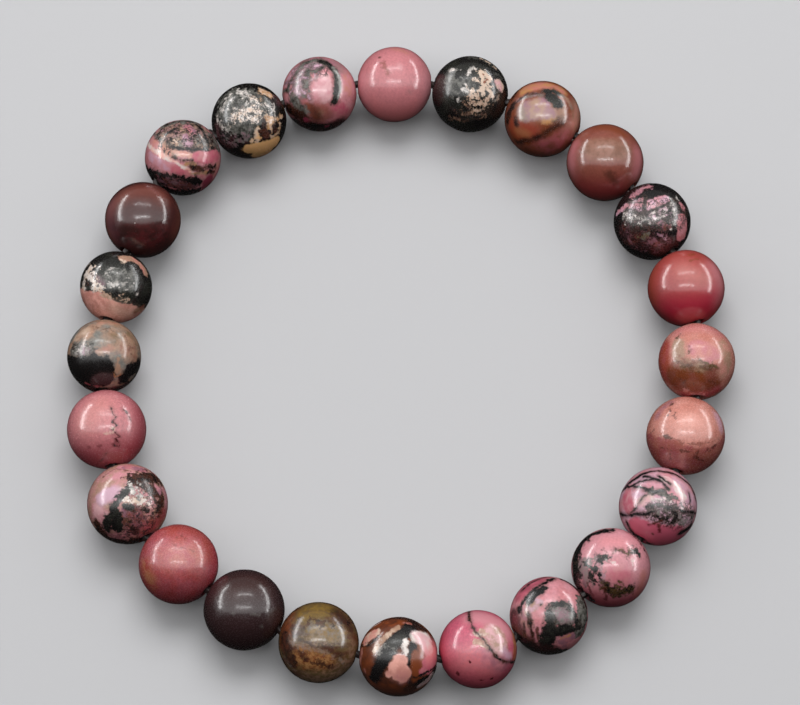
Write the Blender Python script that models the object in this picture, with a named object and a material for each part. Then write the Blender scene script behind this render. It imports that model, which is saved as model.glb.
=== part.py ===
"""Bracelet of 24 polished rhodonite beads, strung on one loop of elastic cord and lying in a loose ring.

Lengths are in metres and +Z is up. The beads stand on z = 0, and the origin is under the middle of
the ring. bead_01 is at the back of the ring, towards +Y, and the numbers run clockwise as seen from
above. The real beads are round, so each solid's lowest facet stands for the point that it rests on.
"""

import math

import bmesh
import bpy
from mathutils import Matrix, Vector

MM = 0.001

# Driving dimensions.
BORE_RADIUS = 0.7 * MM
BORE_CHAMFER = 0.15 * MM  # width of the small cone that breaks the edge of each drilled hole
CORD_RADIUS = 0.4 * MM
BEAD_GAP = 0.1 * MM  # from bead to bead, along the line between their centres
FIRST_BEAD_ANGLE = math.radians(90.6)  # where bead_01 lies on the ring, anticlockwise from +X

# How finely the round shapes are faceted. An odd number of bands gives each bead a level lowest facet.
BEAD_SIDES = 16
BEAD_BANDS = 9
CORD_BEVEL_RESOLUTION = 2

# The beads in their order on the cord: diameter, then how far the centre lies outside the round
# line of the ring (inside it if negative), both in millimetres, and the look of the stone.
BEADS = (
    (7.95, -0.05, "rose"),
    (8.05, -0.20, "black_and_cream"),
    (8.05, 0.05, "rust"),
    (8.10, 0.05, "clay"),
    (8.05, -0.15, "veined"),
    (8.00, 0.15, "coral"),
    (7.95, 0.00, "peach"),
    (8.05, -0.30, "peach"),
    (8.00, -0.15, "veined"),
    (8.05, -0.10, "veined"),
    (7.90, 0.05, "veined"),
    (7.90, 0.55, "rose"),
    (8.00, 0.25, "patched"),
    (8.15, -0.15, "olive"),
    (8.20, -0.35, "umber"),
    (8.10, 0.05, "coral"),
    (8.25, 0.55, "veined"),
    (8.15, -0.20, "rose"),
    (7.65, -0.60, "tan_and_black"),
    (7.50, -0.50, "black_and_cream"),
    (7.95, -0.05, "maroon"),
    (8.00, 1.00, "veined"),
    (7.95, 0.05, "black_and_cream"),
    (7.90, 0.00, "veined"),
)

# Each look's colour and roughness. The stones are polished to a gloss.
STONES = {
    "rose": ((0.55, 0.17, 0.20), 0.22),
    "coral": ((0.46, 0.11, 0.10), 0.22),
    "peach": ((0.52, 0.22, 0.17), 0.25),
    "clay": ((0.30, 0.10, 0.07), 0.18),
    "rust": ((0.31, 0.12, 0.06), 0.22),
    "veined": ((0.40, 0.15, 0.19), 0.22),
    "patched": ((0.45, 0.20, 0.15), 0.22),
    "black_and_cream": ((0.07, 0.06, 0.05), 0.25),
    "tan_and_black": ((0.25, 0.16, 0.11), 0.25),
    "olive": ((0.17, 0.10, 0.04), 0.20),
    "umber": ((0.07, 0.04, 0.04), 0.20),
    "maroon": ((0.11, 0.03, 0.02), 0.15),
}
CORD_COLOUR = (0.05, 0.035, 0.03)
CORD_ROUGHNESS = 0.35


def clear_scene():
    for obj in list(bpy.data.objects):
        bpy.data.objects.remove(obj)


def plain_material(name, colour, roughness):
    material = bpy.data.materials.new(name)
    material.use_nodes = True
    shader = material.node_tree.nodes["Principled BSDF"]
    shader.inputs["Base Color"].default_value = (*colour, 1.0)
    shader.inputs["Roughness"].default_value = roughness
    shader.inputs["Metallic"].default_value = 0.0
    material.diffuse_color = (*colour, 1.0)
    return material


def ring_steps(ring_radius):
    """The turn from each bead to the next about the middle of the ring, with the beads a gap apart."""
    steps = []
    for here, there in zip(BEADS, BEADS[1:] + BEADS[:1]):
        near = ring_radius + here[1] * MM
        far = ring_radius + there[1] * MM
        apart = (here[0] + there[0]) / 2 * MM + BEAD_GAP
        steps.append(math.acos((near**2 + far**2 - apart**2) / (2 * near * far)))
    return steps


def closed_ring_radius():
    """The radius at which the string of beads just closes: its steps add up to one full turn."""
    string_length = sum(bead[0] * MM + BEAD_GAP for bead in BEADS)
    tight = string_length / (2 * math.pi) * 0.9
    loose = tight * 1.4
    for _ in range(60):
        middle = (tight + loose) / 2
        if sum(ring_steps(middle)) > 2 * math.pi:
            tight = middle
        else:
            loose = middle
    return (tight + loose) / 2


def bead_centres():
    """Each bead's centre at its own radius above z = 0, with the ring's box centred on the origin."""
    ring_radius = closed_ring_radius()
    angle = FIRST_BEAD_ANGLE
    centres = []
    for (diameter, standoff, _), step in zip(BEADS, ring_steps(ring_radius)):
        reach = ring_radius + standoff * MM
        centres.append(Vector((reach * math.cos(angle), reach * math.sin(angle), diameter / 2 * MM)))
        angle -= step
    middle = Vector((0.0, 0.0, 0.0))
    for axis in (0, 1):
        low = min(c[axis] - bead[0] / 2 * MM for c, bead in zip(centres, BEADS))
        high = max(c[axis] + bead[0] / 2 * MM for c, bead in zip(centres, BEADS))
        middle[axis] = (low + high) / 2
    return [c - middle for c in centres]


def bore_directions(centres):
    """The level direction of each bead's bore: along the string, from the bead before to the one after."""
    directions = []
    for index in range(len(centres)):
        along = centres[(index + 1) % len(centres)] - centres[index - 1]
        directions.append(Vector((along.x, along.y, 0.0)).normalized())
    return directions


def bead_profile(radius):
    """Half section of a drilled bead as (along the bore, out from it), from one end round to the other."""
    rim = BORE_RADIUS + BORE_CHAMFER
    rim_angle = math.asin(rim / radius)
    band = (math.pi - 2 * rim_angle) / BEAD_BANDS
    outer = []
    for number in range(BEAD_BANDS + 1):
        angle = rim_angle + band * number
        at_rim = number in (0, BEAD_BANDS)
        # The bands touch the round surface at their middles, and the rims lie on it.
        reach = radius if at_rim else radius / math.cos(band / 2)
        outer.append((reach * math.cos(angle), reach * math.sin(angle)))
    bore_end = outer[0][0] - BORE_CHAMFER
    return [(bore_end, BORE_RADIUS), *outer, (-bore_end, BORE_RADIUS)]


def bead_mesh(name, radius):
    """The profile turned about the bore, which is the local X axis, with a facet facing straight down."""
    mesh = bpy.data.meshes.new(name)
    shape = bmesh.new()
    half_side = math.pi / BEAD_SIDES
    to_corner = 1 / math.cos(half_side)  # so that the flats, and not the corners, are at the radius
    start = Vector((0.0, math.sin(half_side), -math.cos(half_side))) * to_corner
    ring = [shape.verts.new(Vector((along, 0.0, 0.0)) + start * out) for along, out in bead_profile(radius)]
    edges = [shape.edges.new((ring[i - 1], ring[i])) for i in range(len(ring))]
    bmesh.ops.spin(
        shape,
        geom=ring + edges,
        cent=(0.0, 0.0, 0.0),
        axis=(1.0, 0.0, 0.0),
        angle=2 * math.pi,
        steps=BEAD_SIDES,
        use_duplicate=False,
    )
    bmesh.ops.remove_doubles(shape, verts=shape.verts, dist=0.001 * MM)
    bmesh.ops.recalc_face_normals(shape, faces=shape.faces)
    shape.to_mesh(mesh)
    shape.free()
    mesh.shade_smooth()
    mesh.set_sharp_from_angle(angle=math.radians(35))
    return mesh


def make_bead(number, diameter, centre, direction, material):
    name = f"bead_{number:02d}"
    bead = bpy.data.objects.new(name, bead_mesh(name, diameter / 2 * MM))
    turn = math.atan2(direction.y, direction.x)
    bead.matrix_world = Matrix.Translation(centre) @ Matrix.Rotation(turn, 4, "Z")
    bead.data.materials.append(material)
    bpy.context.scene.collection.objects.link(bead)


def make_cord(centres, directions):
    """One closed loop of cord, straight along each bore and bent a little between the beads."""
    bore_ends = []
    for (diameter, _, _), centre, direction in zip(BEADS, centres, directions):
        half_bore = direction * (math.sqrt((diameter / 2 * MM) ** 2 - BORE_RADIUS**2))
        # The string runs clockwise, which is the way that the directions point.
        bore_ends += [centre - half_bore, centre + half_bore]
    curve = bpy.data.curves.new("elastic_cord", "CURVE")
    curve.dimensions = "3D"
    curve.fill_mode = "FULL"
    curve.bevel_depth = CORD_RADIUS
    curve.bevel_resolution = CORD_BEVEL_RESOLUTION
    line = curve.splines.new("POLY")
    line.points.add(len(bore_ends) - 1)
    for point, place in zip(line.points, bore_ends):
        point.co = (*place, 1.0)
    line.use_cyclic_u = True
    curve.materials.append(plain_material("elastic", CORD_COLOUR, CORD_ROUGHNESS))
    bpy.context.scene.collection.objects.link(bpy.data.objects.new("elastic_cord", curve))


def main():
    clear_scene()
    stones = {name: plain_material(name, *look) for name, look in STONES.items()}
    centres = bead_centres()
    directions = bore_directions(centres)
    for index, (diameter, _, stone) in enumerate(BEADS):
        make_bead(index + 1, diameter, centres[index], directions[index], stones[stone])
    make_cord(centres, directions)


main()
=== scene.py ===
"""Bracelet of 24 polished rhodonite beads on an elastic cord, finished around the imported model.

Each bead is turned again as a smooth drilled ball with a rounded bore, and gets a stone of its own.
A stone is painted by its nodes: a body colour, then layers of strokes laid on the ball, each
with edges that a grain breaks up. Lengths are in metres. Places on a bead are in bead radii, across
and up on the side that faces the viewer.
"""

import math
from collections import namedtuple

import bpy
from bpy.props import FloatProperty, FloatVectorProperty, IntProperty, PointerProperty
from bpy.types import Operator, Panel, PropertyGroup
from mathutils import Matrix, Vector


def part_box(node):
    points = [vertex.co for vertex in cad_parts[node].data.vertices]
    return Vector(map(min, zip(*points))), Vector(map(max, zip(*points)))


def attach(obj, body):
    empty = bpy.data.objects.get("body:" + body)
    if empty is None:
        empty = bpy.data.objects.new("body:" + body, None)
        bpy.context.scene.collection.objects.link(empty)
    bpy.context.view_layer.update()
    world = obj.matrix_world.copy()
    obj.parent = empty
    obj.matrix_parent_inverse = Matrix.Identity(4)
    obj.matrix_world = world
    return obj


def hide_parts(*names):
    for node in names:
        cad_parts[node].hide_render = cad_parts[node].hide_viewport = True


bl_info = {
    "name": "Rhodonite Bead Bracelet",
    "version": (1, 0, 0),
    "blender": (4, 5, 0),
    "location": "3D View > Sidebar > Bracelet",
    "description": "Finishes a string of polished rhodonite beads: the stones, the cord and the studio",
    "category": "Add Mesh",
}

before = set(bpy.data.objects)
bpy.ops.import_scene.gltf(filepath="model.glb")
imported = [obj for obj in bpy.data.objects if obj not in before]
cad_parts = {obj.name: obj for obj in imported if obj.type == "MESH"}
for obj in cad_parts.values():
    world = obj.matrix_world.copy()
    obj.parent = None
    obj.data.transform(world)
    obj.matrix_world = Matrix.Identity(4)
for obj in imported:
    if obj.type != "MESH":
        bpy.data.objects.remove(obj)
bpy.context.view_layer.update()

MM = 0.001
BODY = "root"
CORD_NODE = "elastic_cord"
BEAD_NODES = sorted(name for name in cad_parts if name.startswith("bead_"))


# ---------------------------------------------------------------- colours


def linear(screen):
    """One channel as a screen shows it, 0 to 255, as the linear value that a shader takes."""
    share = screen / 255
    return share / 12.92 if share <= 0.04045 else ((share + 0.055) / 1.055) ** 2.4


def colour(name, description, red, green, blue):
    """A colour setting whose default is given as a screen shows it."""
    return FloatVectorProperty(
        name=name,
        description=description,
        subtype="COLOR",
        size=3,
        min=0.0,
        max=1.0,
        default=(linear(red), linear(green), linear(blue)),
    )


def opaque(tint):
    """A colour setting as the four channels that a socket takes."""
    return (*tint, 1.0)


def length(name, description, millimetres):
    """A length setting whose default is given in millimetres."""
    return FloatProperty(name=name, description=description, default=millimetres * MM, unit="LENGTH")


class StoneColours(PropertyGroup):
    """The colours that the stones are made of."""

    rose: colour("Rose", "Even pink of the plain beads", 197, 122, 127)
    rose_deep: colour("Deep rose", "Redder pink, in the plain beads' clouds", 172, 88, 96)
    hot_pink: colour("Hot pink", "The strongest pink", 196, 92, 114)
    magenta: colour("Magenta", "Purplish pink", 150, 58, 80)
    pink: colour("Pink", "Ground of the veined beads", 206, 140, 148)
    pink_pale: colour("Pale pink", "Milky pink", 222, 172, 176)
    lilac: colour("Lilac", "Cool, milky pink", 206, 164, 182)
    blush: colour("Blush", "Bright, warm pink", 236, 140, 142)
    coral: colour("Coral", "Orange pink", 166, 72, 72)
    crimson: colour("Crimson", "Strong red, in the coral beads' feet", 178, 48, 68)
    red_dark: colour("Dark red", "Garnet red of seams and dots", 96, 30, 36)
    peach: colour("Peach", "Pale orange pink", 190, 118, 104)
    salmon: colour("Salmon", "Milky orange pink", 204, 138, 126)
    clay: colour("Clay", "Brown pink", 132, 72, 60)
    shell: colour("Shell", "Pale, warm pink", 236, 172, 158)
    rust: colour("Rust", "Iron-stained brown", 128, 64, 34)
    brick: colour("Brick", "Iron-stained red", 162, 66, 46)
    honey: colour("Honey", "Pale orange patch", 244, 190, 130)
    mauve: colour("Mauve", "Greyed purple pink", 150, 105, 120)
    orange: colour("Orange", "Iron-stained ochre", 186, 134, 84)
    tan: colour("Tan", "Brownish cream", 168, 132, 110)
    cream: colour("Cream", "Quartz-rich patches", 214, 188, 168)
    white: colour("White", "Quartz flecks", 226, 216, 210)
    gold: colour("Gold", "Yellowish brown", 136, 108, 48)
    olive: colour("Olive", "Brownish green", 104, 84, 50)
    brown: colour("Brown", "Dark iron stain", 78, 42, 30)
    umber: colour("Umber", "Purplish dark brown", 52, 34, 35)
    maroon: colour("Maroon", "Dark red brown", 66, 30, 28)
    grey: colour("Grey", "Middle of the manganese veins", 122, 120, 114)
    green_black: colour("Green black", "Dark greenish manganese", 40, 40, 35)
    black: colour("Black", "Manganese veins", 20, 17, 17)


class BeadSettings(PropertyGroup):
    """How the beads are turned, drilled and polished."""

    bore_radius: length("Bore radius", "Radius of the drilled hole", 0.7)
    rim_round: length("Rim rounding", "Width of the rounded edge of the hole", 0.2)
    unevenness: length("Unevenness", "How far the polished surface wanders off the ball", 0.03)
    sides: IntProperty(name="Sides", description="Faces round the bore", default=112, min=12)
    bands: IntProperty(name="Bands", description="Faces from end to end of the bore", default=84, min=8)
    rim_bands: IntProperty(name="Rim bands", description="Faces across each rounded rim", default=5, min=1)
    polish: FloatProperty(
        name="Polish roughness", description="Roughness of the polished face", default=0.13, subtype="FACTOR"
    )
    haze: FloatProperty(
        name="Haze", description="Weight of the bloom round each highlight", default=0.25, subtype="FACTOR"
    )


class CordSettings(PropertyGroup):
    """The elastic cord inside the beads."""

    radius: length("Radius", "Radius of the cord", 0.4)
    strands: IntProperty(name="Strands", description="Strands twisted together", default=5, min=2)
    groove: length("Groove", "Depth of the grooves between strands", 0.05)
    lay: length("Lay", "Length of one full twist", 6.0)
    tint: colour("Tint", "Colour of the elastic", 52, 40, 38)


class StageSettings(PropertyGroup):
    """Floor, lights and camera."""

    view_elevation: FloatProperty(
        name="View elevation", description="Height of the view", default=math.radians(72), subtype="ANGLE"
    )
    view_distance: length("View distance", "From the camera to the middle of the view", 374.55)
    view_middle: FloatVectorProperty(
        name="View middle",
        description="Point in the middle of the view",
        default=(-0.109 * MM, 1.174 * MM, 4.0 * MM),
        subtype="TRANSLATION",
        unit="LENGTH",
    )
    lens: FloatProperty(
        name="Lens", description="Focal length in millimetres", default=162.8, unit="CAMERA"
    )
    floor: colour("Floor", "Colour of the plain pale floor", 188, 188, 190)
    air: FloatProperty(name="Air", description="Strength of the even light from all round", default=0.015)
    lamps: FloatProperty(name="Lamps", description="Brightness that each lamp has a share of", default=14.0)


# ---------------------------------------------------------------- node helpers

# A noise is its scale, its octaves of detail and their roughness. Its values seldom leave the spread,
# and NOISE_GAIN times their distance from the middle is about 1 at most.
NOISE_MIDDLE = 0.5
NOISE_SPREAD = (0.3, 0.7)
NOISE_GAIN = 4.0


def feed(tree, socket, value):
    """Links another node's output into the socket, or sets the value on it."""
    if isinstance(value, bpy.types.NodeSocket):
        tree.links.new(value, socket)
    else:
        socket.default_value = value


def add(tree, kind, inputs=None, **settings):
    """A new node with its settings made and its inputs filled, each with a value or another node's output."""
    made = tree.nodes.new(kind)
    for name, value in settings.items():
        setattr(made, name, value)
    for name, value in (inputs or {}).items():
        feed(tree, made.inputs[name], value)
    return made


def maths(tree, operation, *values):
    return add(tree, "ShaderNodeMath", dict(enumerate(values)), operation=operation).outputs[0]


def vector_maths(tree, operation, *values, out="Vector"):
    made = add(tree, "ShaderNodeVectorMath", dict(enumerate(values)), operation=operation)
    return made.outputs[out]


def scaled(tree, vector, factor):
    made = add(tree, "ShaderNodeVectorMath", {0: vector, "Scale": factor}, operation="SCALE")
    return made.outputs["Vector"]


def blend_colour(tree, share, below, above):
    """Goes from the colour below to the colour above as the share goes from 0 to 1."""
    made = add(tree, "ShaderNodeMix", {"Factor": share}, data_type="RGBA")
    feed(tree, made.inputs[6], below)
    feed(tree, made.inputs[7], above)
    return made.outputs[2]


def ramp(tree, value, low, high, start=0.0, end=1.0):
    """Goes smoothly from start to end as the value goes from low to high."""
    inputs = {"Value": value, "From Min": low, "From Max": high, "To Min": start, "To Max": end}
    return add(tree, "ShaderNodeMapRange", inputs, interpolation_type="SMOOTHSTEP").outputs["Result"]


def noise(tree, vector, pattern, seed):
    scale, detail, roughness = pattern
    inputs = {"Vector": vector, "W": seed, "Scale": scale, "Detail": detail, "Roughness": roughness}
    return add(tree, "ShaderNodeTexNoise", inputs, noise_dimensions="4D")


def three_noises(tree, vector, pattern, seed):
    """Three unlike patterns of one size, which are the channels of a noise's colour."""
    made = noise(tree, vector, pattern, seed)
    return add(tree, "ShaderNodeSeparateColor", {0: made.outputs["Color"]}).outputs


def swing(tree, value, reach):
    """A noise value taken about zero instead of about its middle, times the reach."""
    return maths(tree, "MULTIPLY", maths(tree, "SUBTRACT", value, NOISE_MIDDLE), reach)


def wander(tree, vector, pattern, seed, reach):
    """An offset in all three directions that changes with the place, about zero, times the reach."""
    drawn = noise(tree, vector, pattern, seed).outputs["Color"]
    return scaled(tree, vector_maths(tree, "SUBTRACT", drawn, (NOISE_MIDDLE,) * 3), reach)


def sockets(kind, *names):
    """Sockets of one kind, for new_group."""
    return [(name, kind) for name in names]


def new_group(kind, name, takes, gives):
    """A node group that takes and gives the sockets. Returns it with its two ends."""
    tree = bpy.data.node_groups.new(name, kind)
    for in_out, wanted in (("INPUT", takes), ("OUTPUT", gives)):
        for title, what in wanted:
            tree.interface.new_socket(title, in_out=in_out, socket_type="NodeSocket" + what)
    return tree, tree.nodes.new("NodeGroupInput").outputs, tree.nodes.new("NodeGroupOutput").inputs


def group(tree, name, inputs):
    """Places a group in the tree and fills its inputs. Returns its outputs."""
    made = tree.nodes.new("ShaderNodeGroup")
    made.node_tree = bpy.data.node_groups[name]
    for socket, value in inputs.items():
        feed(tree, made.inputs[socket], value)
    return made.outputs


# ---------------------------------------------------------------- where the beads are

Seat = namedtuple("Seat", "node centre radius along facing")


def camera_place(stage):
    """Where the camera stands. Each bead's marks are laid on the side that faces it."""
    back = Vector((0.0, -math.cos(stage.view_elevation), math.sin(stage.view_elevation)))
    return Vector(stage.view_middle) + back * stage.view_distance


def bead_seats(viewer):
    """Each bead's centre, radius, bore direction, and the turn that takes +Z towards the viewer."""
    boxes = [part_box(name) for name in BEAD_NODES]
    centres = [(low + high) / 2 for low, high in boxes]
    seats = []
    for index, (low, high) in enumerate(boxes):
        along = centres[(index + 1) % len(centres)] - centres[index - 1]
        towards = (viewer - centres[index]).normalized()
        across = (Vector((1.0, 0.0, 0.0)) - towards * towards.x).normalized()
        facing = Matrix((across, towards.cross(across), towards)).transposed()
        along = Vector((along.x, along.y, 0.0)).normalized()
        seats.append(Seat(BEAD_NODES[index], centres[index], (high.z - low.z) / 2, along, facing))
    return seats


# ---------------------------------------------------------------- the drilled ball

HOOP_RADIUS = 1 * MM  # any radius does: each profile is shifted back by it
WELD = 0.002 * MM
SWELLS = (260.0, 2.0, 0.55)  # about 4 mm from one to the next


def drilled_ball_tree():
    """A ball with a hole along Z, as four profiles swept round the hole and merged: face, rims and bore."""
    gives = sockets("Geometry", "Geometry")
    takes = gives + sockets("Float", "Radius", "Bore Radius", "Rim Rounding", "Unevenness", "Seed")
    takes += sockets("Int", "Sides", "Bands", "Rim Bands") + sockets("Material", "Stone")
    tree, given, result = new_group("GeometryNodeTree", "drilled ball", takes, gives)
    rim = maths(tree, "ADD", given["Bore Radius"], given["Rim Rounding"])
    rim_angle = maths(tree, "ARCCOSINE", maths(tree, "DIVIDE", rim, given["Radius"]))
    rim_height = maths(tree, "MULTIPLY", given["Radius"], maths(tree, "SINE", rim_angle))
    bore_height = maths(tree, "SUBTRACT", rim_height, given["Rim Rounding"])

    def point(across, up):
        return add(tree, "ShaderNodeCombineXYZ", {"X": across, "Y": up}).outputs[0]

    def minus(value):
        return maths(tree, "MULTIPLY", value, -1.0)

    arc = {
        "Resolution": given["Bands"],
        "Radius": given["Radius"],
        "Start Angle": minus(rim_angle),
        "Sweep Angle": maths(tree, "MULTIPLY", rim_angle, 2.0),
    }
    face = add(tree, "GeometryNodeCurveArc", arc, mode="RADIUS").outputs[0]
    top = {
        "Resolution": given["Rim Bands"],
        "Start": point(rim, rim_height),
        "Middle": point(given["Bore Radius"], rim_height),
        "End": point(given["Bore Radius"], bore_height),
    }
    bottom = {
        "Resolution": given["Rim Bands"],
        "Start": point(given["Bore Radius"], minus(bore_height)),
        "Middle": point(given["Bore Radius"], minus(rim_height)),
        "End": point(rim, minus(rim_height)),
    }
    rims = [add(tree, "GeometryNodeCurveQuadraticBezier", ends).outputs[0] for ends in (top, bottom)]
    bore_ends = {
        "Start": point(given["Bore Radius"], bore_height),
        "End": point(given["Bore Radius"], minus(bore_height)),
    }
    bore = add(tree, "GeometryNodeCurvePrimitiveLine", bore_ends).outputs[0]
    round_hole = {"Resolution": given["Sides"], "Radius": HOOP_RADIUS}
    hoop = add(tree, "GeometryNodeCurvePrimitiveCircle", round_hole, mode="RADIUS").outputs[0]
    skins = tree.nodes.new("GeometryNodeJoinGeometry")
    for profile in (face, *rims, bore):
        shift = {"Geometry": profile, "Translation": (-HOOP_RADIUS, 0, 0)}
        shifted = add(tree, "GeometryNodeTransform", shift).outputs[0]
        swept = add(tree, "GeometryNodeCurveToMesh", {"Curve": hoop, "Profile Curve": shifted})
        tree.links.new(swept.outputs[0], skins.inputs[0])
    merged = add(tree, "GeometryNodeMergeByDistance", {"Geometry": skins.outputs[0], "Distance": WELD})
    place = tree.nodes.new("GeometryNodeInputPosition").outputs[0]
    drawn = noise(tree, place, SWELLS, given["Seed"]).outputs[0]
    push = swing(tree, drawn, maths(tree, "MULTIPLY", given["Unevenness"], NOISE_GAIN))
    outward = tree.nodes.new("GeometryNodeInputNormal").outputs[0]
    moved = {"Geometry": merged.outputs[0], "Offset": scaled(tree, outward, push)}
    uneven = add(tree, "GeometryNodeSetPosition", moved)
    smooth = add(tree, "GeometryNodeSetShadeSmooth", {"Geometry": uneven.outputs[0]})
    whole = add(tree, "GeometryNodeRealizeInstances", {"Geometry": smooth.outputs[0]})
    dressed = add(tree, "GeometryNodeSetMaterial", {"Geometry": whole.outputs[0], "Material": given["Stone"]})
    tree.links.new(dressed.outputs[0], result[0])
    return tree


def grown(name, tree, values, guide=None):
    """The tree's result for these values, as a plain mesh in an object of that name at the origin."""
    piece = bpy.data.objects.new(name, guide or bpy.data.meshes.new(name))
    bpy.context.scene.collection.objects.link(piece)
    modifier = piece.modifiers.new("grow", "NODES")
    modifier.node_group = tree
    for item in tree.interface.items_tree:
        if item.in_out == "INPUT" and item.name in values:
            modifier[item.identifier] = values[item.name]
    graph = bpy.context.evaluated_depsgraph_get()
    finished = piece.evaluated_get(graph)
    mesh = bpy.data.meshes.new_from_object(finished, preserve_all_data_layers=True, depsgraph=graph)
    piece.modifiers.clear()
    piece.data = mesh
    mesh.name = name
    return piece


# ---------------------------------------------------------------- the stones

Layer = namedtuple("Layer", "light dark strokes ragged soft strength net halo")
Stone = namedtuple("Stone", "slot light dark layers uneven grain streaks pits depth")


def layer(tones, *strokes, ragged=0.05, soft=0.03, strength=1.0, net=0.0, halo=0.0):
    """Strokes of one finish. tones is one colour's name, or two that are mixed within the strokes.

    A stroke is its half width and then the points it runs through, all in bead radii. ragged is how far
    the grain moves its edge, and a layer of more than RAGGED_MIX mixes its tones in that grain instead of
    in large clouds. soft is the width of the edge and strength how solid the layer is. net, above 0, keeps
    only a web of lines of that scale, and halo stains the stone beside the layer.
    """
    light, _, dark = tones.partition(" ")
    return Layer(light, dark or light, strokes, ragged, soft, strength, net, halo)


def stone(slot, tones, *layers, uneven=1.0, grain=1.0, streaks=0.0, pits=1.0, depth=0.0):
    """A bead's stone: its material slot, which is not used, its two body tones and its layers, the lowest
    first.

    uneven scales how far the face wanders off the ball, grain how strongly the body is mottled, and pits
    how far dull specks break up the polish. streaks is how far the two tones run in fibres instead of
    clouds, and depth how strongly painted shade darkens and reddens the stone towards its foot as seen.
    """
    light, _, dark = tones.partition(" ")
    return Stone(slot, light, dark or light, layers, uneven, grain, streaks, pits, depth)


# In each stone, depth is how strongly painted shade darkens and reddens its foot.
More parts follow.
